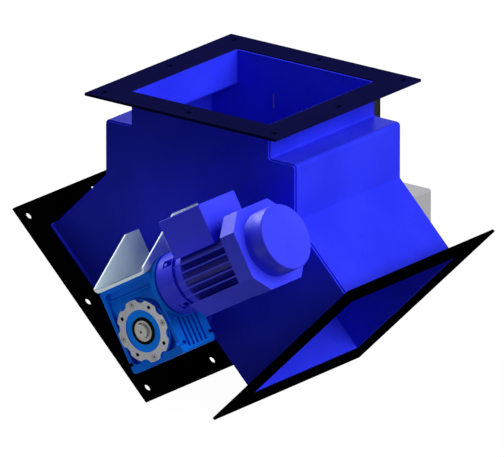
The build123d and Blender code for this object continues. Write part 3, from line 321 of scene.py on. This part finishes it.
def enamel(name, colour, dark, peel, roughness, specular, relief=0.05, gap_shade=None):
    """Enamel: two tones mixed by a wide noise, a fine ripple as bump, and mottled gloss.
    peel and relief are the ripple's width and height in millimetres. The last argument is
    painted shade, a dark colour and the radius about the motor's axis inside which it lies."""
    material, tree, where = new_finish(name)
    drift = add(tree, "TexNoise", {"Vector": where, "Scale": 1 / film_drift, "Detail": 3.0})
    tone = add(tree, "MapRange", {"Value": drift.outputs["Fac"], "From Min": 0.35,
                                  "From Max": 0.65})
    shade = add(tree, "Mix", {"Factor": tone.outputs[0], "A": linear(dark), "B": linear(colour)},
                data_type="RGBA")
    # painted shade: inside the radius about the motor's axis the coat takes the dark colour
    if gap_shade:
        shaded_gap = near_motor_axis(tree, where, gap_shade[1])
        shade = add(tree, "Mix", {"Factor": shaded_gap, "A": shade.outputs[2], "B": linear(gap_shade[0])},
                    data_type="RGBA")
    ripple = add(tree, "TexNoise", {"Vector": where, "Scale": 1 / (peel * MM), "Detail": 2.0})
    bump = add(tree, "Bump", {"Height": ripple.outputs["Fac"], "Distance": relief * MM,
                              "Strength": 1.0})
    rub = add(tree, "TexNoise", {"Vector": where, "Scale": 1 / rub_patch, "Detail": 4.0})
    gloss = add(tree, "MapRange", {"Value": rub.outputs["Fac"], "To Min": roughness - rub_swing,
                                   "To Max": roughness + rub_swing})
    shader = add(tree, "BsdfPrincipled", {"Base Color": shade.outputs[2],
                                          "Roughness": gloss.outputs[0],
                                          "Normal": bump.outputs[0],
                                          "Specular IOR Level": specular})
    return close_finish(material, tree, shader)


# Gloss enamel sprayed on folded sheet: deep blue, smooth, with a soft sheen.
housing_enamel = enamel("housing_enamel", "#2d36ee", "#262fe2", 2.2, 0.30, 0.03)

# The same kind of paint on castings, a shade more violet and a little duller.
motor_enamel = enamel("motor_enamel", "#3c42f6", "#363cec", 1.6, 0.38, 0.06)

# Between the stator's fins the coat is painted darker near the motor's axis: painted shade.
gap_shade_r = 48.5 * MM
stator_enamel_gap_shade = enamel("stator_enamel_gap_shade", "#3c42f6", "#363cec", 1.6, 0.38, 0.06,
                       gap_shade=("#1b1e92", gap_shade_r))

# Brushed over rough cast iron, so the bearings are dull and the grain shows through.
bearing_enamel = enamel("bearing_enamel", "#2c36e4", "#262fd8", 1.2, 0.55, 0.05, 0.12)

# Matt enamel on the flanges, with no highlight: the outlets' is black, the inlet's is nearly
# black with a navy cast.
inlet_flange_enamel = enamel("inlet_flange_enamel", "#10103e", "#0e0e39", 2.0, 0.70, 0.0)
outlet_flange_enamel = enamel("outlet_flange_enamel", "#030304", "#020203", 2.0, 0.80, 0.0)

# %% [markdown]
# The gear unit is cast aluminium in azure enamel, but the lobed rings round its output
# are machined bare so that a flange can seat on them. One node holds both, so its
# material decides by distance: further from the shaft's axis than the recess, and at the
# very face of the ring, it is bare metal with fine turning marks. The masked recess
# inside the ring kept a thicker, lighter coat. The four tapped holes are painted near
# black inside, as painted shade. They lie on the diagonals of the drive, so with absolute
# values one distance finds all four. Painted vertex colours could mark these zones too,
# but they would be as coarse as the mesh, while a distance gives a crisp edge.

# %% Zones of the gear unit
recess_r = 30.2 * MM            # edge of the masked recess
ring_r = 45 * MM                # nothing further out is machined
ring_face = 0.4 * MM            # depth from the face that counts as the face
tapped_at = 37.5 * MM * cos(pi / 4)     # the holes' circle has a radius of 37.5 mm
tapped_r = 2.9 * MM
gear_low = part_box("gear_cover")[0]
gear_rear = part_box("gear_housing")[1].y


def shaft_radius(tree, where):
    """Position about the shaft, without its Y, and the distance from the shaft's axis."""
    centred = add(tree, "Mapping", {"Vector": where, "Location": (-pivot.x, 0, -pivot.z)})
    part = add(tree, "SeparateXYZ", {"Vector": centred.outputs[0]})
    flat = add(tree, "CombineXYZ", {"X": part.outputs["X"], "Z": part.outputs["Z"]})
    radius = add(tree, "VectorMath", {0: flat.outputs[0]}, operation="LENGTH")
    return flat.outputs[0], part.outputs["Y"], radius.outputs["Value"]


def bare_ring(tree, depth, radius):
    """1 on the machined rings: outside the recess, inside the ring and at its face."""
    outside = add(tree, "Math", {0: radius, 1: recess_r}, operation="GREATER_THAN")
    front = add(tree, "Math", {0: depth, 1: gear_low.y + ring_face}, operation="LESS_THAN")
    rear = add(tree, "Math", {0: depth, 1: gear_rear - ring_face}, operation="GREATER_THAN")
    face = add(tree, "Math", {0: front.outputs[0], 1: rear.outputs[0]}, operation="MAXIMUM")
    inside = add(tree, "Math", {0: radius, 1: ring_r}, operation="LESS_THAN")
    bare = add(tree, "Math", {0: outside.outputs[0], 1: face.outputs[0]}, operation="MULTIPLY")
    return add(tree, "Math", {0: bare.outputs[0], 1: inside.outputs[0]},
               operation="MULTIPLY").outputs[0]


def tapped_holes(tree, flat):
    """1 inside the four holes: the position is turned level and folded into one quarter."""
    level = add(tree, "Mapping", {"Vector": flat, "Rotation": (0, lean, 0)})
    fold = add(tree, "VectorMath", {0: level.outputs[0]}, operation="ABSOLUTE")
    off = add(tree, "VectorMath", {0: fold.outputs[0], 1: (tapped_at, 0, tapped_at)},
              operation="DISTANCE")
    hole = add(tree, "Math", {0: off.outputs["Value"], 1: tapped_r}, operation="LESS_THAN")
    return hole.outputs[0]


print("gear unit from y", round(gear_low.y, 4), "to", round(gear_rear, 4))

# %% [markdown]
# The zones choose between two shaders. The paint lies on the grain that the mould left
# in the casting. The bare metal has rings from the lathe, made by the sine of the
# radius. Real turning marks are about 0.2 mm apart, and here they are 0.8 mm, so that
# they show. A second material on the ring's faces would need faces of its own there,
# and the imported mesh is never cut.

# %% Gear unit finish
mould_grain = 0.9 * MM
coat_drift = 25 * MM            # the coat's tone drifts over this width
mould_relief = 0.12 * MM
turning_pitch = 0.8 * MM
turning_relief = 0.01 * MM
turned_grey = "#74767b"
# near black painted shade inside the tapped holes
hole_shade_black = "#050507"


def gear_finish(name, paint, paint_dark, paint_recess):
    """Paint, and bare turned metal where the radius about the shaft and the depth say so."""
    material, tree, where = new_finish(name)
    flat, depth, radius = shaft_radius(tree, where)
    bare = bare_ring(tree, depth, radius)

    grain = add(tree, "TexNoise", {"Vector": where, "Scale": 1 / mould_grain, "Detail": 3.0})
    drift = add(tree, "TexNoise", {"Vector": where, "Scale": 1 / coat_drift, "Detail": 3.0})
    tone = add(tree, "MapRange", {"Value": drift.outputs["Fac"], "From Min": 0.3,
                                  "From Max": 0.7})
    coat = add(tree, "Mix", {"Factor": tone.outputs[0], "A": linear(paint_dark),
                             "B": linear(paint)}, data_type="RGBA")
    sunk = add(tree, "Math", {0: radius, 1: recess_r}, operation="LESS_THAN")
    # the recess takes its lighter coat, and the tapped holes a near black painted shade
    for zone, colour in ((sunk.outputs[0], paint_recess), (tapped_holes(tree, flat), hole_shade_black)):
        coat = add(tree, "Mix", {"Factor": zone, "A": coat.outputs[2], "B": linear(colour)},
                   data_type="RGBA")
    cast = add(tree, "Bump", {"Height": grain.outputs["Fac"], "Distance": mould_relief})
    painted = add(tree, "BsdfPrincipled", {"Base Color": coat.outputs[2], "Roughness": 0.5,
                                           "Specular IOR Level": 0.05,
                                           "Normal": cast.outputs[0]})

    turn = add(tree, "Math", {0: radius, 1: 2 * pi / turning_pitch}, operation="MULTIPLY")
    wave = add(tree, "Math", {0: turn.outputs[0]}, operation="SINE")
    marks = add(tree, "Bump", {"Height": wave.outputs[0], "Distance": turning_relief})
    turned = add(tree, "BsdfPrincipled", {"Base Color": linear(turned_grey), "Metallic": 0.85,
                                          "Roughness": 0.42, "Normal": marks.outputs[0]})
    both = add(tree, "MixShader", {0: bare, 1: painted.outputs[0], 2: turned.outputs[0]})
    return close_finish(material, tree, both)


# Azure enamel on cast aluminium: satin, grainy, and bright where the mask kept it thick.
# Inside the tapped holes the coat is painted near black: painted shade.
gear_enamel = gear_finish("gear_enamel", "#0470ea", "#0362d6", "#0585ff")

# %% [markdown]
# Bare metals differ by colour, by how rough they are and by the marks their making left.
# A pattern of cells, each with its own grey, stands for crystals, grinding marks or
# grains, each at its own size, so one function makes all the metals. Plain noise would
# do for the finest, but only cells have the sharp borders that zinc crystals show.

# %% Metals
surface_grain = 0.6 * MM        # really under 0.1 mm, drawn as coarse as it needs to show
grain_relief = 0.015 * MM
smoother, rougher = 0.06, 0.08  # how far a crystal's roughness strays


def metal(name, colour, other, roughness, patch, metallic=1.0):
    """Metal whose tone and gloss change from crystal to crystal, patch millimetres across."""
    material, tree, where = new_finish(name)
    crystal = add(tree, "TexVoronoi", {"Vector": where, "Scale": 1 / (patch * MM)})
    grey = add(tree, "RGBToBW", {"Color": crystal.outputs["Color"]})
    shade = add(tree, "Mix", {"Factor": grey.outputs[0], "A": linear(colour), "B": linear(other)},
                data_type="RGBA")
    gloss = add(tree, "MapRange", {"Value": grey.outputs[0], "To Min": roughness - smoother,
                                   "To Max": roughness + rougher})
    fine = add(tree, "TexNoise", {"Vector": where, "Scale": 1 / surface_grain, "Detail": 3.0})
    bump = add(tree, "Bump", {"Height": fine.outputs["Fac"], "Distance": grain_relief})
    shader = add(tree, "BsdfPrincipled", {"Base Color": shade.outputs[2], "Metallic": metallic,
                                          "Roughness": gloss.outputs[0],
                                          "Normal": bump.outputs[0]})
    return close_finish(material, tree, shader)


# Hot-dip galvanised sheet, weathered to a dull pale skin of zinc salts with faint spangle.
galvanised_sheet = metal("galvanised_sheet", "#d8eaf2", "#e0f0f6", 0.50, 6.0, 0.1)
# Zinc-plated fasteners from the barrel: bright, with small soft highlights.
zinc_plating = metal("zinc_plating", "#a9adb4", "#b4b8be", 0.32, 1.2)
# The same plating after years of oil and dust: grey and dull.
dulled_zinc = metal("dulled_zinc", "#7a7c80", "#828488", 0.60, 1.0, 0.5)
# Turned steel with a thin film of grease and rust, so it mirrors little.
worn_steel = metal("worn_steel", "#8f8f8d", "#979795", 0.55, 0.8, 0.45)
# Cylindrically ground steel: even grey with a clear highlight along the shaft.
ground_steel = metal("ground_steel", "#9a9b9c", "#a3a4a4", 0.34, 0.8)
# Key steel blackened in hot oil: nearly black, with a faint gloss.
blackened_steel = metal("blackened_steel", "#151517", "#1b1b1d", 0.50, 0.8, 0.3)
# Sintered bronze, pressed from powder: warm, slightly grainy, soaked with oil.
sintered_bronze = metal("sintered_bronze", "#b07b3c", "#bd8747", 0.45, 0.7)
# Stacked laminations of electrical steel with their grey varnish.
electrical_steel = metal("electrical_steel", "#5c6066", "#666a70", 0.50, 1.5)
# Enamelled copper wire, bundled: reddish brown, each wire with its own small shine.
copper_wire = metal("copper_wire", "#b5653a", "#c17046", 0.40, 1.0)

# %% [markdown]
# Rubber and plastics are dull and carry the texture of their mould. A mould's spark
# eroded skin prints fine pits on the piece, so a noise less than a millimetre across
# drives the bump. Real displacement would cost millions of faces for the same look.

# %% Rubber and plastics
mould_drift = 40 * MM           # the slow change of tone where the melt cooled differently


def moulded(name, colour, other, roughness, grit, relief, specular=0.4):
    """Moulded surface: pits grit wide and relief high in millimetres, and a slow drift of tone."""
    material, tree, where = new_finish(name)
    drift = add(tree, "TexNoise", {"Vector": where, "Scale": 1 / mould_drift, "Detail": 3.0})
    shade = add(tree, "Mix", {"Factor": drift.outputs["Fac"], "A": linear(colour),
                              "B": linear(other)}, data_type="RGBA")
    pits = add(tree, "TexNoise", {"Vector": where, "Scale": 1 / (grit * MM), "Detail": 1.0})
    bump = add(tree, "Bump", {"Height": pits.outputs["Fac"], "Distance": relief * MM})
    shader = add(tree, "BsdfPrincipled", {"Base Color": shade.outputs[2], "Roughness": roughness,
                                          "Normal": bump.outputs[0],
                                          "Specular IOR Level": specular})
    return close_finish(material, tree, shader)


# Nitrile rubber, moulded and slightly chalky: black without a highlight.
seal_rubber = moulded("seal_rubber", "#0c0c0c", "#121211", 0.80, 0.8, 0.03, 0.05)
# Moulded polycarbonate of the switch box: pale grey and satin.
box_plastic = moulded("box_plastic", "#9b9a9d", "#a1a0a3", 0.50, 0.7, 0.02)
# Glass-filled nylon of the sensor box: dark grey, its fibres leave it matt.
sensor_plastic = moulded("sensor_plastic", "#202021", "#262627", 0.75, 0.7, 0.02, 0.05)
# The same nylon in black for the frame on its lid.
frame_plastic = moulded("frame_plastic", "#0c0c0d", "#111112", 0.75, 0.7, 0.02, 0.05)
# The sensor's window, a smooth waxy polymer that the bulk slides past.
window_plastic = moulded("window_plastic", "#7c7c84", "#86868e", 0.35, 1.0, 0.01)
# Black moulding compound of terminals, plugs, switches and the fan: a little glossy.
block_plastic = moulded("block_plastic", "#17181a", "#1e1f22", 0.45, 0.8, 0.02)

# %% [markdown]
# Every piece of the model now gets its finish. The list is by finish, so that it reads
# as a paint shop's job sheet. It could also be kept piece by piece, but this way a
# finish that is on the wrong piece stands out.

# %% Which piece has which finish
job_sheet = {
    housing_enamel: ["front_plate", "back_plate", "left_side_plate", "right_side_plate",
                     "crotch_plate", "flap_blade"],
    inlet_flange_enamel: ["inlet_flange"],
    outlet_flange_enamel: ["left_outlet_flange", "right_outlet_flange"],
    bearing_enamel: ["front_bearing_housing", "rear_bearing_housing"],
    motor_enamel: ["motor_end_shield", "motor_flange_screws", "fan_end_shield", "fan_cowl",
                   "terminal_box", "terminal_box_lid"],
    stator_enamel_gap_shade: ["stator_housing"],
    gear_enamel: ["gear_housing", "gear_cover", "worm_bore_cap"],
    galvanised_sheet: ["gear_bracket", "seal_clamp"],
    zinc_plating: ["wall_studs", "wall_nuts", "seal_bolts", "seal_nuts", "foot_screws",
                   "lid_screws", "switch_standoffs"],
    dulled_zinc: ["gear_cover_screws"],
    worn_steel: ["shaft_end_screw", "hollow_shaft"],
    blackened_steel: ["shaft_key"],
    ground_steel: ["flap_shaft", "worm_shaft", "motor_shaft",
                   "output_bearings", "worm_bearings", "motor_bearings"],
    sintered_bronze: ["shaft_bushes", "worm_wheel"],
    electrical_steel: ["stator_core", "rotor_core"],
    copper_wire: ["stator_windings"],
    seal_rubber: ["flap_seal", "packing_rings", "oil_seals"],
    box_plastic: ["switch_box", "switch_cover"],
    sensor_plastic: ["sensor_box", "sensor_lid"],
    window_plastic: ["sensor_window"],
    block_plastic: ["terminal_block", "cable_entry_plugs", "limit_switches", "switch_cam",
                    "cooling_fan"],
}
for finish, names in job_sheet.items():
    for name in names:
        nodes[name].data.materials.clear()
        nodes[name].data.materials.append(finish)
dressed = {name for names in job_sheet.values() for name in names}
print("pieces without a finish:", sorted(set(nodes) - dressed))

# %% [markdown]
# The small surface detail comes as new pieces. Most of it is a little profile carried
# round a rounded rectangle: a weld bead, a rim. Two parameters describe such a surface,
# one along the path and one round the profile, so numpy can work out all the points at
# once as a grid. A modifier could sweep a curve too, but with the grid the ripple of a
# weld is one more term in the formula.

# %% A mesh from a grid
def build(name, points, finish, closed_along=True):
    """A mesh from a grid of points, rows along the path and columns round the profile.
    The columns close on themselves, and the rows too, or else two end faces close them."""
    rows, columns = points.shape[:2]
    index = np.arange(rows * columns).reshape(rows, columns)
    here, ahead = (index, np.roll(index, -1, axis=0)) if closed_along else (index[:-1], index[1:])
    quads = np.stack([here, np.roll(here, -1, axis=1), np.roll(ahead, -1, axis=1), ahead],
                     axis=-1)
    faces = quads.reshape(-1, 4).tolist()
    if not closed_along:
        faces += [index[0][::-1].tolist(), index[-1].tolist()]
    mesh = bpy.data.meshes.new(name)
    mesh.from_pydata(points.reshape(-1, 3).tolist(), [], faces)
    mesh.validate()
    mesh.materials.append(finish)
    mesh.shade_smooth()
    piece = bpy.data.objects.new(name, mesh)
    bpy.context.scene.collection.objects.link(piece)
    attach(piece, "housing")
    print(name, "has", len(mesh.polygons), "faces")
    return piece


# %% [markdown]
# The path round a duct or a box is a rectangle with round corners. It is four quarter
# circles, and the straight sides come by themselves when their ends are joined. Even
# steps along it keep the ripples of a weld the same size on the sides and in the corners.

# %% Paths and profiles
corner_points = 9               # on each quarter circle


def rounded_rectangle(half_a, half_b, corner, step=None):
    """Points round a rectangle with round corners, and the outward direction at each:
    the corner centres plus the direction times the corner radius, joined by straight runs.
    With a step they are that far apart, and without one only the corners have points."""
    turn = np.linspace(0, pi / 2, corner_points)
    quarter = np.arange(4)[:, None] * pi / 2 + turn
    out = np.stack([np.cos(quarter), np.sin(quarter)], axis=-1).reshape(-1, 2)
    sign = np.repeat([(1, 1), (-1, 1), (-1, -1), (1, -1)], corner_points, axis=0)
    line = sign * (half_a - corner, half_b - corner) + corner * out
    line, out = np.vstack([line, line[:1]]), np.vstack([out, out[:1]])
    run = np.concatenate([[0], np.cumsum(np.linalg.norm(np.diff(line, axis=0), axis=1))])
    along = np.linspace(0, run[-1], int(run[-1] / step) + 1)[:-1] if step else run[:-1]
    point = np.stack([np.interp(along, run, line[:, k]) for k in (0, 1)], axis=-1)
    outward = np.stack([np.interp(along, run, out[:, k]) for k in (0, 1)], axis=-1)
    return point, outward / np.linalg.norm(outward, axis=1, keepdims=True), along


def carry(place, point, outward, profile, swell=1.0):
    """Profile points (out, up) carried round a flat path: path + outward * out + up axis * up.
    place is the matrix that puts the flat path in the valve's frame."""
    swell = np.broadcast_to(np.asarray(swell), len(point))[:, None]
    flat = point[:, None, :] + outward[:, None, :] * (profile[None, :, 0] * swell)[..., None]
    high = profile[None, :, 1] * swell
    local = np.concatenate([flat, high[..., None]], axis=-1)
    turn = np.array(place.to_3x3())
    return local @ turn.T + np.array(place.translation)


duct_half = 120.0 * MM          # half the outside width of the duct
duct_corner = 1.5 * MM
around = rounded_rectangle(duct_half, duct_half, duct_corner, step=MM)[0]
print("a point each millimetre makes", len(around), "points round the duct")

# %% [markdown]
# The flanges are welded to the duct from outside. A hand-laid fillet weld is a bulging
# bead with ripples where the puddle froze, one every two or three millimetres. A bump
# on the corner would vanish in the outline, so the bead is a mesh: a quarter of a
# rounded profile, whose size swells and shrinks with each ripple. Its back lies inside
# the plates, so that no gap shows.

# %% Weld beads behind the three flanges
bead_leg = 3.2 * MM
bead_sunk = 0.6 * MM            # how far the bead's back lies inside the plates
bead_size = 0.95                # share of the full leg, before the ripples
ripple_pitch = 2.6 * MM
ripple_height = 0.09            # how much the bead swells with each ripple
hand_drift = 0.05               # and as the welder's hand goes slower or faster
outlet_slope = pi / 4           # the outlets face 45 degrees down
plate_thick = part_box("inlet_flange")[1].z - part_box("inlet_flange")[0].z

bulge = np.linspace(0, pi / 2, 6)
round_face = np.stack([bead_leg * np.cos(bulge), -bead_leg * np.sin(bulge)], axis=-1)
bead = np.concatenate([[(-bead_sunk, bead_sunk)], round_face])
bead[1] += (0, bead_sunk)       # the first point of the round goes into the flange
bead[-1] -= (bead_sunk, 0)      # and the last one into the duct


def weld(name, place):
    """The bead round the duct: its size is 0.95 + 0.09 |sin(pi s / pitch)| + a slow drift,
    0.05 sin(7 t) sin(3 t), where s is the way along it and t that way as a whole turn."""
    point, outward, along = rounded_rectangle(duct_half, duct_half, duct_corner,
                                              ripple_pitch / 4)
    turn = 2 * pi * along / along[-1]
    ripple = ripple_height * np.abs(np.sin(pi * along / ripple_pitch))
    drift = hand_drift * np.sin(turn * 7) * np.sin(turn * 3)
    return build(name, carry(place, point, outward, bead, bead_size + ripple + drift),
                 housing_enamel)


weld("inlet_weld", Matrix.Translation((0, 0, -plate_thick)))
for side, name in ((1, "right"), (-1, "left")):
    low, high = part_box(name + "_outlet_flange")
    facing = Vector((side * cos(outlet_slope), 0, -sin(outlet_slope)))
    across = Vector((0, side, 0))
    turn = Matrix((facing.cross(across).cross(facing), facing.cross(across), facing))
    rear_face = (low + high) / 2 - facing * plate_thick / 2
    weld(name + "_outlet_weld",
         Matrix.Translation(rear_face) @ turn.transposed().to_4x4())

# %% [markdown]
# The two boxes on the back have crisp edges in the photograph. Each gets a thin rim: the
# switch box a folded hood round its sides, the sensor a flat frame on its lid. Both are
# the same kind of surface as the weld, a profile carried round. A Bevel modifier could
# cut the small chamfers, but here they are only two more points of the profile.

# %% Rims of the two boxes
rim_chamfer = 0.8 * MM
rim_lap = 0.3 * MM              # how far a rim's inside lies inside the box's sides


def rim(name, node, grow_x, grow_z, y0, y1, corner, finish):
    """A frame round a node's sides from y0 to y1, standing grow_x and grow_z outside it."""
    low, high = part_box(node)
    half_x, half_z = (high.x - low.x) / 2, (high.z - low.z) / 2
    point, outward, _ = rounded_rectangle(half_x + grow_x, half_z + grow_z, corner)
    inner_point, inner_outward, _ = rounded_rectangle(half_x - rim_lap, half_z - rim_lap, corner)
    outer_profile = np.array([(-rim_chamfer, y0), (0, y0 + rim_chamfer),
                              (0, y1 - rim_chamfer), (-rim_chamfer, y1)])
    inner_profile = np.array([(0, y1), (0, y0)])
    # the flat path lies in the valve's X and Z, and its third axis is the valve's Y
    place = Matrix(((1, 0, 0), (0, 0, 1), (0, 1, 0))).to_4x4()
    place.translation = Vector(((low.x + high.x) / 2, 0, (low.z + high.z) / 2))
    outer = carry(place, point, outward, outer_profile)
    inner = carry(place, inner_point, inner_outward, inner_profile)
    build(name, np.concatenate([outer, inner], axis=1), finish).data.shade_flat()


hood_wider, hood_higher = 5.8 * MM, 3.6 * MM
hood_corner = 3.0 * MM
hood_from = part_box("switch_box")[0].y + 6 * MM          # the edge at the pillars stays bare
hood_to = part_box("switch_cover")[1].y + 0.8 * MM        # a little past the cover's face
rim("switch_box_hood", "switch_cover", hood_wider, hood_higher, hood_from, hood_to,
    hood_corner, box_plastic)

frame_proud = 0.8 * MM
frame_corner = 2.0 * MM
frame_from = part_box("sensor_lid")[1].y - 3.4 * MM       # round the lid's sides
frame_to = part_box("sensor_lid")[1].y + 0.4 * MM         # a little past the lid's face
rim("sensor_lid_frame", "sensor_lid", frame_proud, frame_proud, frame_from, frame_to,
    frame_corner, frame_plastic)

# %% [markdown]
# Round the output shaft the photograph shows a bold black ring. It is the dust lip of
# the oil seal, which laps over the edge of the hollow shaft without touching it. It is
# a lathe shape: the radius and the height along the shaft are given for each point of
# the profile, and the profile turns once round the axis. Blender's Screw modifier turns
# a profile too, but then the centre would have to be the object's origin.

# %% Dust lip of the front seal
# radius and height in millimetres, the height counted inwards from the gear cover's face
lip_profile = np.array([(14.9, -0.20), (15.3, -0.75), (17.2, -0.90), (19.0, -0.55),
                        (19.45, 0.9), (17.0, 1.0), (16.6, -0.15)]) * MM
lip_steps = 96


def lathe(name, profile, x, y, z, finish):
    """Profile (r, h) turned about Y: x + r cos a, y + h, z + r sin a for a whole turn of a."""
    angle = np.linspace(0, 2 * pi, lip_steps + 1)[:-1]
    radius, height = profile[:, 0], profile[:, 1]
    grid = np.stack([x + np.outer(np.cos(angle), radius),
                     y + np.broadcast_to(height, (lip_steps, len(height))),
                     z + np.outer(np.sin(angle), radius)], axis=-1)
    return build(name, grid, finish)


lathe("seal_dust_lip", lip_profile, pivot.x, gear_low.y, pivot.z, seal_rubber)

# %% [markdown]
# The welded studs carry the bearings and the drive's bracket. Their ends stand four
# millimetres past the nuts, and there the thread shows. A thread is a tube whose radius
# is a zigzag of the height less the turned angle, so that the crest climbs one pitch a
# turn. A stack of rings would look alike from afar, but its crests wouldn't climb.

# %% Threads on the stud ends
stud_r = 4.0 * MM
stud_at = 35 * MM               # above and below the shaft
thread_pitch = 1.25 * MM
thread_deep = 0.35 * MM
thread_long = 4.4 * MM
thread_past = 0.1 * MM          # past the solid's end, so that the two faces don't meet
thread_foot = 0.25              # share of the depth that lies inside the solid stud
thread_slack = 0.02 * MM        # a thread is cut a touch under its nominal size
end_taper, end_inset = 0.6 * MM, 0.5 * MM      # length and depth of the chamfer at an end
thread_sides, thread_rings = 24, 33            # points round it and along it


def thread(name, y0, y1):
    """A thread from y0 to y1 on both studs of a bearing: its radius is that of the stud
    plus depth * zigzag(height / pitch - angle / turn), less a taper at the two ends."""
    angle = np.linspace(0, 2 * pi, thread_sides + 1)[:-1]
    height = np.linspace(0, 1, thread_rings) * abs(y1 - y0)
    turns = height[:, None] / thread_pitch - angle[None, :] / (2 * pi)
    crest = np.abs(2 * (turns % 1.0) - 1)
    radius = stud_r - thread_slack + thread_deep * (crest - thread_foot)
    ends = np.minimum(height, height[::-1])[:, None] / end_taper
    radius = np.where(ends < 1, radius - (1 - ends) * end_inset, radius)
    y = y0 + height * np.sign(y1 - y0)
    for number, z in enumerate((pivot.z - stud_at, pivot.z + stud_at)):
        grid = np.stack([radius * np.cos(angle), np.broadcast_to(y[:, None], radius.shape),
                         z + radius * np.sin(angle)], axis=-1)
        if y1 > y0:             # so that the faces point outwards either way
            grid = grid[:, ::-1]
        build(name + "_" + str(number + 1), grid, zinc_plating,
              closed_along=False)


stud_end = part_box("wall_studs")[1].y
thread("rear_bearing_thread", stud_end - thread_long, stud_end + thread_past)
thread("front_bearing_thread", thread_long - stud_end, -stud_end - thread_past)

# %% Sizes
low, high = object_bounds()
print("scene box", tuple(low), tuple(high))
